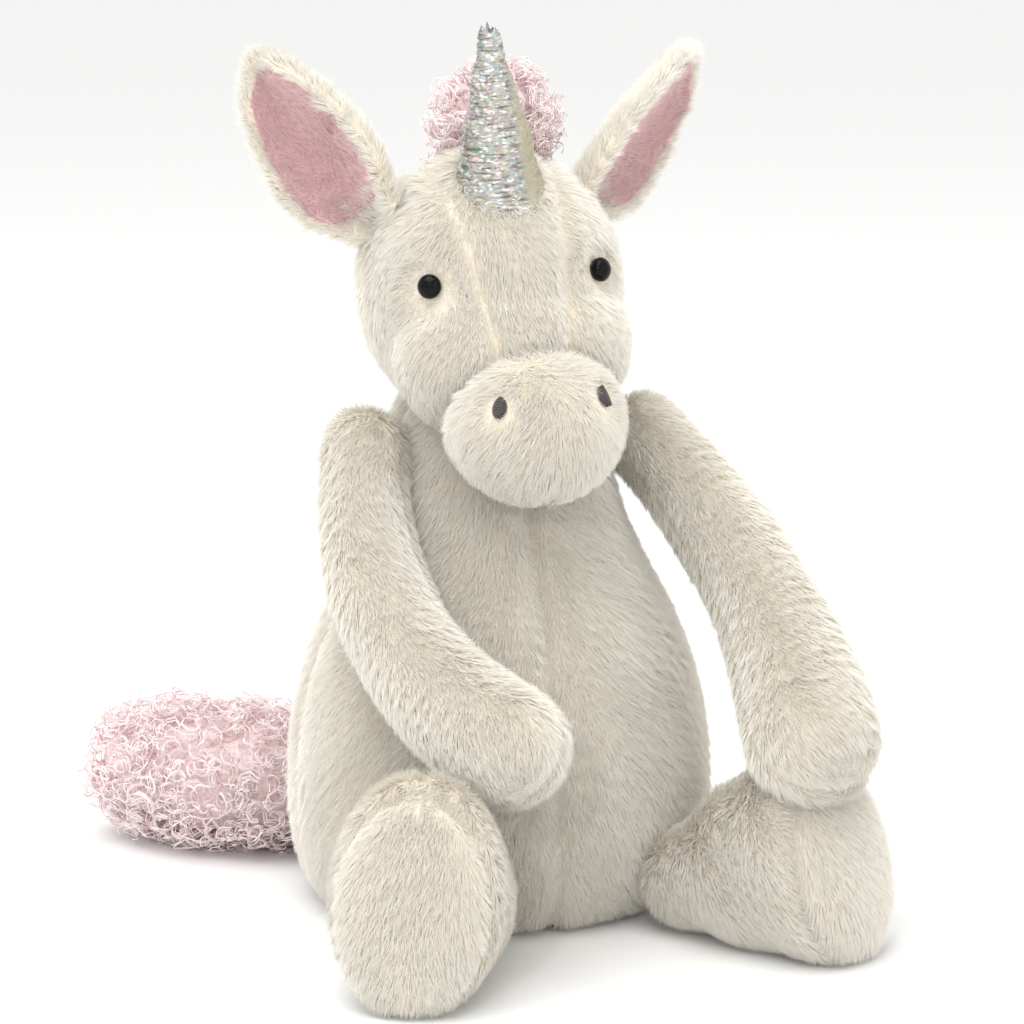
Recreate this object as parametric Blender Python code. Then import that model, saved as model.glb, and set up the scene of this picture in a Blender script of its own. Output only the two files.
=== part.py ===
"""Seated plush unicorn: sewn fabric panels round stuffing and pellet pouches, on soft sewn joints.

Every soft part is a hollow form cut along its seams into panels, with its filling inside.
The toy faces -Y, its left side is +X, and it sits on z = 0 with the middle of its seat at the origin.
The panels are the backing fabric; the pile that stands on them adds about 4 mm outside.
"""

import math

import bmesh
import bpy
from mathutils import Matrix, Vector

# ---- driving dimensions, metres ----
BODY_WIDTH = 0.1076
BODY_DEPTH = 0.0946
BODY_HEIGHT = 0.121
BODY_LEAN = 0.006  # how far the neck stands behind the middle of the seat
BASE_PANEL_RADIUS = 0.037
NECK_OPENING_RADIUS = 0.0135
PELLET_BAG_HEIGHT = 0.018

HEAD_WIDTH = 0.062
HEAD_DEPTH = 0.060
HEAD_HEIGHT = 0.067
HEAD_SETBACK = 0.002
HEAD_TILT = math.radians(3.5)  # leans to the toy's right
HEAD_GUSSET_WIDTH = 0.022
NECK_HEIGHT = 0.010
MUZZLE_WIDTH = 0.041
MUZZLE_LENGTH = 0.042
MUZZLE_HEIGHT = 0.035
MUZZLE_DROOP = math.radians(22)
MUZZLE_SEAM_SLOPE = math.radians(32)
MUZZLE_SEAM_SHARE = 0.86  # of the way from the head's middle to its face
MUZZLE_OFFSET = 0.0315  # the muzzle's middle stands this far before and below the head's

EYE_DIAMETER = 0.008
EYE_HEIGHT = 0.0026
SHANK_DIAMETER = 0.0024
WASHER_DIAMETER = 0.0070
WASHER_THICKNESS = 0.0010
NOSTRIL_WIDTH = 0.0034
NOSTRIL_HEIGHT = 0.0052
NOSTRIL_THICKNESS = 0.0008

HORN_LENGTH = 0.046
HORN_BASE_DIAMETER = 0.0205
HORN_TIP_DIAMETER = 0.0036
HORN_LEAN = math.radians(5)
HORN_FORWARD = 0.0140  # its seat is this far before the head's middle
HORN_SEAT_RISE = 0.0215
EAR_LENGTH = 0.050
EAR_WIDTH = 0.032
EAR_ROOT_WIDTH = 0.014
EAR_TIP_WIDTH = 0.005
EAR_CUP = 0.0045
LEFT_EAR_LEAN = 0.80  # sideways share of the way the ear points
RIGHT_EAR_LEAN = 0.47
FORELOCK_WIDTH = 0.034
FORELOCK_HEIGHT = 0.028
FORELOCK_DEPTH = 0.022
FORELOCK_SIDE = 0.0085  # it is combed over to the toy's left
FORELOCK_BACK = 0.0125
MANE_WIDTH = 0.014
MANE_THICKNESS = 0.0065
MANE_TOP_SLOPE = math.radians(40)
MANE_FOOT_DROP = 0.0188  # the strip ends this far below the head's middle

ARM_LENGTH = 0.1235
ARM_DIAMETER = 0.0165
PAW_DIAMETER = 0.0250
UPPER_ARM_SHARE = 0.46  # of the arm's length, up to where it bends
PAW_POUCH_SHARE = 0.72  # the pouch starts this far down the arm
SHOULDER_RISE = 0.0025  # the arm's end stands this far above the body's top
SHOULDER_FORWARD = 0.003
LEFT_PAW_OVER_FOOT = 0.0150  # middle of the paw above the top of the feet
RIGHT_PAW_OVER_FOOT = 0.0088
LEFT_SHOULDER_OUT = 0.002
RIGHT_SHOULDER_OUT = 0.001
LEG_LENGTH = 0.058
HIP_DIAMETER = 0.022
FOOT_WIDTH = 0.043
FOOT_HEIGHT = 0.047
SOLE_ROUNDING = 0.008
SOLE_PANEL_DEPTH = 0.005
LEG_RISE = math.radians(13)
LEFT_LEG_SPLAY = math.radians(38)
RIGHT_LEG_SPLAY = math.radians(-30)
TAIL_LENGTH = 0.104
TAIL_DIAMETER = 0.040
TAIL_ROOT_ROUNDING = 0.008
TAIL_TIP_ROUNDING = 0.014
TAIL_TAPE_DIAMETER = 0.008
TAIL_STUB_DIAMETER = 0.008
TAIL_TUCK = 0.005  # the stub is this much shorter than the tail's radius

PLUSH_THICKNESS = 0.0022
LINING_THICKNESS = 0.0012
LAME_THICKNESS = 0.0009
SEAM_GAP = 0.0003
FILLING_GAP = 0.0005
HINGE_GAP = 0.0026  # room a soft joint has before its two sides touch
EAR_HINGE_GAP = 0.0040

CREAM = (0.83, 0.80, 0.72)
PINK_VELOUR = (0.70, 0.40, 0.43)
PINK_YARN = (0.80, 0.58, 0.61)
SILVER_LAME = (0.78, 0.78, 0.80)
GLOSS_BLACK = (0.006, 0.006, 0.007)
THREAD_BROWN = (0.07, 0.055, 0.055)
FIBRE_WHITE = (0.88, 0.88, 0.88)
POUCH_GREY = (0.60, 0.60, 0.58)
NYLON_WHITE = (0.80, 0.80, 0.78)

X = Vector((1, 0, 0))
Y = Vector((0, 1, 0))
Z = Vector((0, 0, 1))
CUTTER_REACH = 0.5  # half side of a cutting block, larger than the toy
CAP_ANGLES = [math.radians(a) for a in (12, 36, 62)]

for old in list(bpy.data.objects):
    bpy.data.objects.remove(old, do_unlink=True)

scene_objects = bpy.context.scene.collection.objects
homes = {}


# ---- soft joints, pieces and seams ----
def soft_joint(name, place, parent=None, tilt=None):
    """An empty on a soft joint's axis; everything beyond the joint hangs from it."""
    empty = bpy.data.objects.new(name, None)
    empty.empty_display_size = 0.01
    empty.parent = parent
    empty.location = place - (homes[parent.name] if parent else Vector())
    if tilt:
        empty.rotation_euler = tilt
    scene_objects.link(empty)
    homes[name] = place.copy()
    return empty


def hang(name, bm, parent):
    """An object from a mesh in upright toy coordinates, hung from its joint."""
    bm.transform(Matrix.Translation(-homes[parent.name]))
    mesh = bpy.data.meshes.new(name)
    bm.to_mesh(mesh)
    bm.free()
    made = bpy.data.objects.new(name, mesh)
    made.parent = parent
    scene_objects.link(made)
    return made


def piece(name, bm, parent, colour, roughness, metallic=0.0, seams=()):
    """One sub-part: its mesh, cut by (operation, cutter) pairs, and its own finish."""
    made = hang(name, bm, parent)
    made.data.shade_smooth()
    made.data.set_sharp_from_angle(angle=math.radians(40))
    finish = bpy.data.materials.new(name + "_finish")
    finish.use_nodes = True
    shader = finish.node_tree.nodes["Principled BSDF"]
    shader.inputs["Base Color"].default_value = (*colour, 1.0)
    shader.inputs["Roughness"].default_value = roughness
    shader.inputs["Metallic"].default_value = metallic
    made.data.materials.append(finish)
    for operation, cutter in seams:
        cut = made.modifiers.new("seam", "BOOLEAN")
        cut.operation = operation
        cut.solver = "EXACT"
        cut.object = cutter
    return made


def guide(name, bm, parent):
    """A cutter: wire only, and not a part of the toy."""
    made = hang(name, bm, parent)
    made.hide_render = True
    made.display_type = "WIRE"
    return made


def side_of(name, point, normal, parent):
    """A block that fills the side of a plane which the normal points to, half a seam clear of it."""
    normal = normal.normalized()
    bm = bmesh.new()
    bmesh.ops.create_cube(bm, size=2 * CUTTER_REACH)
    lift = Matrix.Translation((0, 0, CUTTER_REACH + SEAM_GAP / 2))
    turn = Z.rotation_difference(normal).to_matrix().to_4x4()
    bm.transform(Matrix.Translation(point) @ turn @ lift)
    return guide(name, bm, parent)


def both_sides(name, point, normal, parent):
    """The two blocks either side of a seam plane: (ahead of it, behind it)."""
    ahead = side_of(name + "_ahead", point, normal, parent)
    behind = side_of(name + "_behind", point, -normal, parent)
    return ahead, behind


# ---- forms made of rings ----
def skin(rings, segments):
    """A closed skin through rings of (centre, side, up, half width, half height)."""
    bm = bmesh.new()
    half_step = Matrix.Rotation(math.pi / segments, 4, "Z")
    loops = []
    for centre, side, up, half_width, half_height in rings:
        place = Matrix.Identity(4)
        place.col[0] = (*(side * half_width), 0)
        place.col[1] = (*(up * half_height), 0)
        place.col[2] = (*side.cross(up), 0)
        place.col[3] = (*centre, 1)
        made = bmesh.ops.create_circle(bm, segments=segments, radius=1, matrix=place @ half_step)
        loops.append(made["verts"])
    for low, high in zip(loops, loops[1:]):
        for i in range(segments):
            j = (i + 1) % segments
            bm.faces.new((low[i], low[j], high[j], high[i]))
    bm.faces.new(loops[0])
    bm.faces.new(loops[-1])
    bmesh.ops.recalc_face_normals(bm, faces=bm.faces)
    return bm


def hollow(outside, inside):
    """One hollow form from an outer and an inner skin."""
    bmesh.ops.reverse_faces(inside, faces=inside.faces)
    lining = bpy.data.meshes.new("lining")
    inside.to_mesh(lining)
    inside.free()
    outside.from_mesh(lining)
    bpy.data.meshes.remove(lining)
    return outside


def ease(stations, t):
    """Value at t of a smooth curve through (place, value) stations."""
    last = len(stations) - 2
    k = max(i for i in range(last + 1) if i == 0 or stations[i][0] <= t)
    before, start, end, after = (stations[min(max(k + d, 0), last + 1)] for d in (-1, 0, 1, 2))
    span = end[0] - start[0]
    u = min(max((t - start[0]) / span, 0), 1)
    slope_in = (end[1] - before[1]) / (end[0] - before[0]) * span
    slope_out = (after[1] - start[1]) / (after[0] - start[0]) * span
    return (
        (2 * u**3 - 3 * u**2 + 1) * start[1]
        + (u**3 - 2 * u**2 + u) * slope_in
        + (3 * u**2 - 2 * u**3) * end[1]
        + (u**3 - u**2) * slope_out
    )


def egg(centre, radii, axis=Z, side=X, segments=24, inset=0.0):
    """An ellipsoid; radii are along side, across, and along axis."""
    across = axis.cross(side)
    a, b, c = (r - inset for r in radii)
    rings = []
    for angle in (math.radians(8), *(k * math.pi / 12 for k in range(2, 11)), math.radians(172)):
        width = math.sin(angle)
        rings.append((centre - axis * c * math.cos(angle), side, across, a * width, b * width))
    return skin(rings, segments)


def egg_surface(centre, radii, direction):
    """Where a ray from the middle of an upright ellipsoid leaves it, and the normal there."""
    scale = 1 / math.sqrt(sum((direction[i] / radii[i]) ** 2 for i in range(3)))
    out = direction * scale
    normal = Vector([out[i] / radii[i] ** 2 for i in range(3)]).normalized()
    return centre + out, normal


def bend(points, u):
    """Point and direction at u of the curve through three points."""
    a, b, c = points
    place = a * (2 * u * u - 3 * u + 1) + b * (4 * u - 4 * u * u) + c * (2 * u * u - u)
    direction = a * (4 * u - 3) + b * (4 - 8 * u) + c * (4 * u - 1)
    return place, direction.normalized()


def limb(points, across, start, end, segments, inset=0.0, middle=5):
    """A round-ended form along a bend; start and end are (half width, half height, depth of the end)."""
    rings = []

    def ring(u, push, width_share, start_share):
        place, direction = bend(points, u)
        side = (across - direction * across.dot(direction)).normalized()
        up = direction.cross(side)
        half_width = start[0] * start_share + end[0] * (1 - start_share) - inset
        half_height = start[1] * start_share + end[1] * (1 - start_share) - inset
        rings.append(
            (place + direction * push, side, up, half_width * width_share, half_height * width_share)
        )

    for angle in CAP_ANGLES:
        ring(0, -(start[2] - inset) * math.cos(angle), math.sin(angle), 1)
    for k in range(middle + 1):
        share = k / middle
        ring(share, 0, 1, 1 - share * share * (3 - 2 * share))
    for angle in reversed(CAP_ANGLES):
        ring(1, (end[2] - inset) * math.cos(angle), math.sin(angle), 0)
    return skin(rings, segments)


def turned(point, axis, profile, segments=12):
    """A turned form: profile is (distance along axis, radius) pairs."""
    side = axis.orthogonal().normalized()
    up = axis.cross(side)
    return skin([(point + axis * s, side, up, r, r) for s, r in profile], segments)


# ---- body: four panels, base, stuffing and pellet bag ----
BODY_WIDTHS = [  # share of height, share of width
    (0.00, 0.76),
    (0.04, 0.88),
    (0.11, 0.96),
    (0.25, 1.00),
    (0.40, 0.98),
    (0.54, 0.91),
    (0.67, 0.77),
    (0.80, 0.62),
    (0.95, 0.51),
    (1.00, 0.42),
]
BODY_SEGMENTS = 24
PANEL_ROUGHNESS = 0.95

torso = soft_joint("torso_root", Vector())


def body_half_width(height):
    return BODY_WIDTH / 2 * ease(BODY_WIDTHS, height / BODY_HEIGHT)


def body_middle(height):
    """The body's middle line, which leans back towards the neck."""
    return Y * BODY_LEAN * (height / BODY_HEIGHT) ** 2 + Z * height


def body_reach(angle, height):
    """Distance from the middle line to the body's fabric, angle being from -Y towards +X."""
    half_width = body_half_width(height)
    half_depth = half_width * BODY_DEPTH / BODY_WIDTH
    return 1 / math.hypot(math.sin(angle) / half_width, math.cos(angle) / half_depth)


def body_form(inset):
    rings = []
    for share, _ in BODY_WIDTHS:
        height = min(max(share * BODY_HEIGHT, inset), BODY_HEIGHT - inset)
        half_width = body_half_width(height) - inset
        half_depth = body_half_width(height) * BODY_DEPTH / BODY_WIDTH - inset
        if not rings or height > rings[-1][0].z + PLUSH_THICKNESS / 4:
            rings.append((body_middle(height), X, Y, half_width, half_depth))
    return skin(rings, BODY_SEGMENTS)


body_left, body_right = both_sides("body_centre_seam", Vector(), X, torso)
body_back, body_front = both_sides("body_side_seam", Vector(), Y, torso)
bag_above, bag_below = both_sides("pellet_bag_top", Z * PELLET_BAG_HEIGHT, Z, torso)
base_depth = 2 * PLUSH_THICKNESS
base_disc = guide(
    "base_panel_outline",
    turned(Vector(), Z, [(-base_depth, BASE_PANEL_RADIUS), (base_depth, BASE_PANEL_RADIUS)], BODY_SEGMENTS),
    torso,
)
base_hole_radius = BASE_PANEL_RADIUS + SEAM_GAP
base_hole = guide(
    "base_panel_opening",
    turned(Vector(), Z, [(-base_depth, base_hole_radius), (base_depth, base_hole_radius)], BODY_SEGMENTS),
    torso,
)
neck_hole = guide(
    "neck_opening",
    turned(
        body_middle(BODY_HEIGHT),
        Z,
        [(-3 * PLUSH_THICKNESS, NECK_OPENING_RADIUS), (PLUSH_THICKNESS, NECK_OPENING_RADIUS)],
        24,
    ),
    torso,
)
for panel, sides in (
    ("body_front_left_panel", (body_front, body_left)),
    ("body_front_right_panel", (body_front, body_right)),
    ("body_back_left_panel", (body_back, body_left)),
    ("body_back_right_panel", (body_back, body_right)),
):
    seams = [("INTERSECT", side) for side in sides]
    seams += [("DIFFERENCE", base_hole), ("DIFFERENCE", neck_hole)]
    shell = hollow(body_form(0), body_form(PLUSH_THICKNESS))
    piece(panel, shell, torso, CREAM, PANEL_ROUGHNESS, seams=seams)
base_shell = hollow(body_form(0), body_form(PLUSH_THICKNESS))
piece("base_panel", base_shell, torso, CREAM, PANEL_ROUGHNESS, seams=[("INTERSECT", base_disc)])

body_fill_inset = PLUSH_THICKNESS + FILLING_GAP
piece(
    "body_stuffing", body_form(body_fill_inset), torso, FIBRE_WHITE, 1.0, seams=[("INTERSECT", bag_above)]
)
piece("pellet_bag", body_form(body_fill_inset), torso, POUCH_GREY, 0.9, seams=[("INTERSECT", bag_below)])

# ---- neck: the plug of filling that the head turns and nods on ----
neck_foot = BODY_HEIGHT - body_fill_inset + FILLING_GAP
neck_pivot = body_middle(BODY_HEIGHT) + Z * NECK_HEIGHT / 2
neck = soft_joint("neck_turn_axis", neck_pivot, torso)
neck_radius = NECK_OPENING_RADIUS - FILLING_GAP
neck_ball_radius = NECK_HEIGHT / 2 - FILLING_GAP
neck_profile = [
    (neck_foot - neck_pivot.z, neck_radius),
    (-NECK_HEIGHT / 4, neck_radius),
    (-NECK_HEIGHT / 4 + SEAM_GAP, neck_ball_radius),
]
neck_profile += [
    (neck_ball_radius * math.cos(a), neck_ball_radius * math.sin(a)) for a in reversed(CAP_ANGLES)
]
piece("neck_stuffing", turned(neck_pivot, Z, neck_profile), neck, FIBRE_WHITE, 1.0)

# ---- head: side panels, centre gusset and filling ----
head = soft_joint("head_nod_axis", neck_pivot, neck, tilt=(0, -HEAD_TILT, 0))
head_radii = Vector((HEAD_WIDTH, HEAD_DEPTH, HEAD_HEIGHT)) / 2
head_middle = Vector((0, HEAD_SETBACK, BODY_HEIGHT + NECK_HEIGHT + HEAD_HEIGHT / 2))


def head_form(inset):
    return egg(head_middle, head_radii, inset=inset, segments=24)


half_gusset = X * HEAD_GUSSET_WIDTH / 2
left_cheek, left_of_gusset = both_sides("left_gusset_seam", half_gusset, X, head)
right_cheek, right_of_gusset = both_sides("right_gusset_seam", -half_gusset, -X, head)
muzzle_out = -Y * math.cos(MUZZLE_SEAM_SLOPE) - Z * math.sin(MUZZLE_SEAM_SLOPE)
muzzle_seam_place = head_middle + muzzle_out * head_radii.y * MUZZLE_SEAM_SHARE
before_muzzle, behind_muzzle = both_sides("muzzle_seam", muzzle_seam_place, muzzle_out, head)

eyes = []
for side_name, sign in (("left", 1), ("right", -1)):
    aim = Vector((sign * 0.71, -0.70, 0.13))
    spot, outward = egg_surface(head_middle, head_radii, aim)
    washer_face = PLUSH_THICKNESS + 2 * FILLING_GAP
    shank_end = washer_face + WASHER_THICKNESS + 2 * FILLING_GAP
    hole_radius = SHANK_DIAMETER / 2 + SEAM_GAP
    shank_hole = guide(
        side_name + "_eye_hole",
        turned(spot, outward, [(-2 * shank_end, hole_radius), (shank_end, hole_radius)]),
        head,
    )
    pocket_radius = WASHER_DIAMETER / 2 + FILLING_GAP
    pocket = guide(
        side_name + "_washer_pocket",
        turned(spot, outward, [(-shank_end - FILLING_GAP, pocket_radius), (shank_end, pocket_radius)]),
        head,
    )
    eyes.append((side_name, spot, outward, washer_face, shank_end, shank_hole, pocket))

shank_holes = [eye[5] for eye in eyes]
washer_pockets = [eye[6] for eye in eyes]
for panel, sides in (
    ("head_left_panel", (left_cheek,)),
    ("head_right_panel", (right_cheek,)),
    ("head_gusset", (left_of_gusset, right_of_gusset)),
):
    seams = [("INTERSECT", side) for side in (*sides, behind_muzzle)]
    seams += [("DIFFERENCE", hole) for hole in shank_holes]
    shell = hollow(head_form(0), head_form(PLUSH_THICKNESS))
    piece(panel, shell, head, CREAM, PANEL_ROUGHNESS, seams=seams)
seams = [("INTERSECT", behind_muzzle)] + [("DIFFERENCE", pocket) for pocket in washer_pockets]
piece("head_stuffing", head_form(PLUSH_THICKNESS + FILLING_GAP), head, FIBRE_WHITE, 1.0, seams=seams)

for side_name, spot, outward, washer_face, shank_end, shank_hole, _ in eyes:
    radius = EYE_DIAMETER / 2
    eye_profile = [(-shank_end, SHANK_DIAMETER / 2), (SEAM_GAP, SHANK_DIAMETER / 2)]
    eye_profile += [(SEAM_GAP, radius * 0.94)]
    eye_profile += [
        (SEAM_GAP + EYE_HEIGHT * math.cos(a), radius * math.sin(a))
        for a in [math.radians(84), *reversed(CAP_ANGLES)]
    ]
    piece(side_name + "_eye", turned(spot, outward, eye_profile), head, GLOSS_BLACK, 0.08)
    washer = turned(
        spot,
        outward,
        [(-washer_face - WASHER_THICKNESS, WASHER_DIAMETER / 2), (-washer_face, WASHER_DIAMETER / 2)],
    )
    piece(side_name + "_eye_washer", washer, head, NYLON_WHITE, 0.4, seams=[("DIFFERENCE", shank_hole)])

# ---- muzzle: top panel, two lower panels meeting under the chin, filling, nostril stitching ----
muzzle_axis = -Y * math.cos(MUZZLE_DROOP) - Z * math.sin(MUZZLE_DROOP)
muzzle_up = X.cross(-muzzle_axis)
muzzle_radii = Vector((MUZZLE_WIDTH, MUZZLE_HEIGHT, MUZZLE_LENGTH)) / 2
muzzle_middle = head_middle - (Y + Z) * MUZZLE_OFFSET
muzzle_top, muzzle_below = both_sides("muzzle_side_seam", muzzle_middle, muzzle_up, head)
chin_left, chin_right = both_sides("chin_seam", muzzle_middle, X, head)


def muzzle_form(inset):
    return egg(muzzle_middle, muzzle_radii, axis=muzzle_axis, inset=inset, segments=20)


for panel, sides in (
    ("muzzle_top_panel", (muzzle_top,)),
    ("muzzle_left_panel", (muzzle_below, chin_left)),
    ("muzzle_right_panel", (muzzle_below, chin_right)),
):
    seams = [("INTERSECT", side) for side in (*sides, before_muzzle)]
    shell = hollow(muzzle_form(0), muzzle_form(PLUSH_THICKNESS))
    piece(panel, shell, head, CREAM, PANEL_ROUGHNESS, seams=seams)
piece(
    "muzzle_stuffing",
    muzzle_form(PLUSH_THICKNESS + FILLING_GAP),
    head,
    FIBRE_WHITE,
    1.0,
    seams=[("INTERSECT", before_muzzle)],
)

for side_name, sign in (("left", 1), ("right", -1)):
    a, b, c = muzzle_radii
    share = Vector((sign * 0.62, 0.60, 0.0))
    share.z = math.sqrt(1 - share.x**2 - share.y**2)
    spot = muzzle_middle + X * a * share.x + muzzle_up * b * share.y + muzzle_axis * c * share.z
    outward = (X * share.x / a + muzzle_up * share.y / b + muzzle_axis * share.z / c).normalized()
    level = Z.cross(outward).normalized()
    upright = outward.cross(level)
    rings = []
    for depth, width in ((SEAM_GAP, 0.85), (SEAM_GAP + NOSTRIL_THICKNESS / 2, 1), (NOSTRIL_THICKNESS, 0.6)):
        sizes = (NOSTRIL_WIDTH / 2 * width, NOSTRIL_HEIGHT / 2 * width)
        rings.append((spot + outward * depth, level, upright, *sizes))
    piece(side_name + "_nostril_stitching", skin(rings, 12), head, THREAD_BROWN, 0.6)

# ---- horn: a lame cone with its own filling, sewn to the gusset ----
horn_seat = head_middle - Y * HORN_FORWARD + Z * HORN_SEAT_RISE
horn_axis = (Z * math.cos(HORN_LEAN) - Y * math.sin(HORN_LEAN)).normalized()
horn_root, _ = egg_surface(head_middle, head_radii, Vector((0, -HORN_FORWARD, HEAD_HEIGHT * 0.45)))
horn = soft_joint("horn_bend_axis", horn_root, head)
horn_clear = guide("horn_clearance", egg(head_middle, head_radii, inset=-HINGE_GAP, segments=24), horn)
horn_sunk = HORN_BASE_DIAMETER / 3


def horn_form(inset):
    base, tip = HORN_BASE_DIAMETER / 2 - inset, HORN_TIP_DIAMETER / 2 - inset / 2
    flare = (base - tip) / HORN_LENGTH * horn_sunk
    top = HORN_LENGTH - inset
    return turned(horn_seat, horn_axis, [(-horn_sunk, base + flare), (0, base), (top, tip)], 20)


horn_shell = hollow(horn_form(0), horn_form(LAME_THICKNESS))
piece("horn_shell", horn_shell, horn, SILVER_LAME, 0.35, 0.8, seams=[("DIFFERENCE", horn_clear)])
horn_fill = horn_form(LAME_THICKNESS + FILLING_GAP)
piece("horn_stuffing", horn_fill, horn, FIBRE_WHITE, 1.0, seams=[("DIFFERENCE", horn_clear)])

# ---- ears: an outer panel and a velour lining, cupped forwards and outwards ----
EAR_WIDTHS = [(0.0, 0.0), (0.2, 0.62), (0.42, 1.0), (0.65, 0.86), (0.85, 0.48), (1.0, 0.0)]


def ear_sheet(root, along, facing, lift, thickness):
    """A cupped leaf of cloth, its face lift above the ear's middle surface."""
    rows, columns = 8, 6
    across = along.cross(facing).normalized()
    bm = bmesh.new()
    bmesh.ops.create_grid(bm, x_segments=columns, y_segments=rows, size=1)
    for vertex in bm.verts:
        t, s = vertex.co.x, (vertex.co.y + 1) / 2
        ends = EAR_ROOT_WIDTH * (1 - s) + EAR_TIP_WIDTH * s
        half = (ends + (EAR_WIDTH - (EAR_ROOT_WIDTH + EAR_TIP_WIDTH) / 2) * ease(EAR_WIDTHS, s)) / 2
        cup = EAR_CUP * t * t * (half / EAR_WIDTH * 2)
        vertex.co = root + along * EAR_LENGTH * s + across * half * t + facing * (cup + lift)
    made = bmesh.ops.duplicate(bm, geom=bm.verts[:] + bm.edges[:] + bm.faces[:])
    back = [v for v in made["geom"] if isinstance(v, bmesh.types.BMVert)]
    bmesh.ops.translate(bm, verts=back, vec=-facing * thickness)
    rims = [e for e in bm.edges if e.is_boundary]
    bmesh.ops.bridge_loops(bm, edges=rims)
    bmesh.ops.recalc_face_normals(bm, faces=bm.faces)
    return bm


for side_name, sign, lean in (("left", 1, LEFT_EAR_LEAN), ("right", -1, RIGHT_EAR_LEAN)):
    along = Vector((sign * lean, 0.25, 0.70)).normalized()
    facing = Vector((sign * 0.714, -0.619, -0.324))
    facing = (facing - along * facing.dot(along)).normalized()
    spot, outward = egg_surface(head_middle, head_radii, Vector((sign * 0.025, 0.0017, 0.0199)))
    root = spot + outward * EAR_HINGE_GAP
    ear = soft_joint(side_name + "_ear_fold_axis", root, head)
    outer = ear_sheet(root, along, facing, -SEAM_GAP / 2, PLUSH_THICKNESS)
    piece(side_name + "_ear_outer", outer, ear, CREAM, PANEL_ROUGHNESS)
    lining = ear_sheet(root, along, facing, LINING_THICKNESS + SEAM_GAP / 2, LINING_THICKNESS)
    piece(side_name + "_ear_lining", lining, ear, PINK_VELOUR, 0.8)

# ---- forelock and mane: curly yarn sewn behind the horn and down the back of the head ----
yarn_clear = guide("yarn_clearance", egg(head_middle, head_radii, inset=-SEAM_GAP, segments=24), head)
forelock_rise = HEAD_HEIGHT / 2 + FORELOCK_HEIGHT * 0.35
forelock_middle = head_middle + Vector((FORELOCK_SIDE, FORELOCK_BACK, forelock_rise))
forelock_radii = Vector((FORELOCK_WIDTH, FORELOCK_DEPTH, FORELOCK_HEIGHT)) / 2
forelock_form = egg(forelock_middle, forelock_radii, segments=16)
piece("forelock", forelock_form, head, PINK_YARN, 0.6, seams=[("DIFFERENCE", yarn_clear)])

mane_left_edge = side_of("mane_left_edge", X * MANE_WIDTH / 2, -X, head)
mane_right_edge = side_of("mane_right_edge", -X * MANE_WIDTH / 2, X, head)
mane_top = Y * math.cos(MANE_TOP_SLOPE) - Z * math.sin(MANE_TOP_SLOPE)
mane_top_edge = side_of("mane_top_edge", head_middle, mane_top, head)
mane_foot = head_middle - Z * MANE_FOOT_DROP
mane_foot_edge = side_of("mane_foot_edge", mane_foot, Vector((0, 0.5, 1)), head)
mane_shell = hollow(head_form(-MANE_THICKNESS), head_form(-2 * SEAM_GAP))
edges = (mane_left_edge, mane_right_edge, mane_top_edge, mane_foot_edge)
piece("mane_strip", mane_shell, head, PINK_YARN, 0.6, seams=[("INTERSECT", edge) for edge in edges])

# ---- arms: two panels each, stuffing and a pellet pouch in the paw ----

def before_body(point, radius):
    """The point, moved straight forward if need be, so that an arm that thick clears the belly."""
    height = min(point.z, BODY_HEIGHT)
    half_width = body_half_width(height)
    clear_width = half_width + radius + HINGE_GAP
    clear_depth = half_width * BODY_DEPTH / BODY_WIDTH + radius + HINGE_GAP
    offset = point - body_middle(height)
    if abs(offset.x) >= clear_width:
        return point
    forward = clear_depth * math.sqrt(1 - (offset.x / clear_width) ** 2)
    return point - Y * max(forward + offset.y, 0)


def arm(side_name, shoulder, upper, fore, paw_height):
    joint = soft_joint(side_name + "_shoulder_axis", shoulder, torso)
    reach = ARM_LENGTH - ARM_DIAMETER / 2 - PAW_DIAMETER / 2
    elbow = shoulder + upper.normalized() * reach * UPPER_ARM_SHARE
    elbow = before_body(elbow, (ARM_DIAMETER + PAW_DIAMETER) / 4)
    fore_reach = reach * (1 - UPPER_ARM_SHARE)
    drop = elbow.z - paw_height
    level = Vector((fore.x, fore.y, 0)).normalized()
    paw = elbow + level * math.sqrt(fore_reach**2 - drop**2) - Z * drop
    paw = before_body(paw, PAW_DIAMETER / 2)
    points = (shoulder, elbow, paw)
    seam_normal = (elbow - shoulder).cross(paw - elbow).normalized()
    start = (ARM_DIAMETER / 2,) * 3
    end = (PAW_DIAMETER / 2,) * 3

    def form(inset):
        return limb(points, seam_normal, start, end, 12, inset, middle=4)

    above, below = both_sides(side_name + "_arm_seam", shoulder, seam_normal, joint)
    for panel, side in (("outer", above), ("inner", below)):
        shell = hollow(form(0), form(PLUSH_THICKNESS))
        name = f"{side_name}_arm_{panel}_panel"
        piece(name, shell, joint, CREAM, PANEL_ROUGHNESS, seams=[("INTERSECT", side)])
    wrist, wrist_direction = bend(points, PAW_POUCH_SHARE)
    paw_side, arm_side = both_sides(side_name + "_paw_pouch_mouth", wrist, wrist_direction, joint)
    fill = PLUSH_THICKNESS + FILLING_GAP
    piece(side_name + "_arm_stuffing", form(fill), joint, FIBRE_WHITE, 1.0, seams=[("INTERSECT", arm_side)])
    piece(side_name + "_paw_pouch", form(fill), joint, POUCH_GREY, 0.9, seams=[("INTERSECT", paw_side)])


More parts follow.
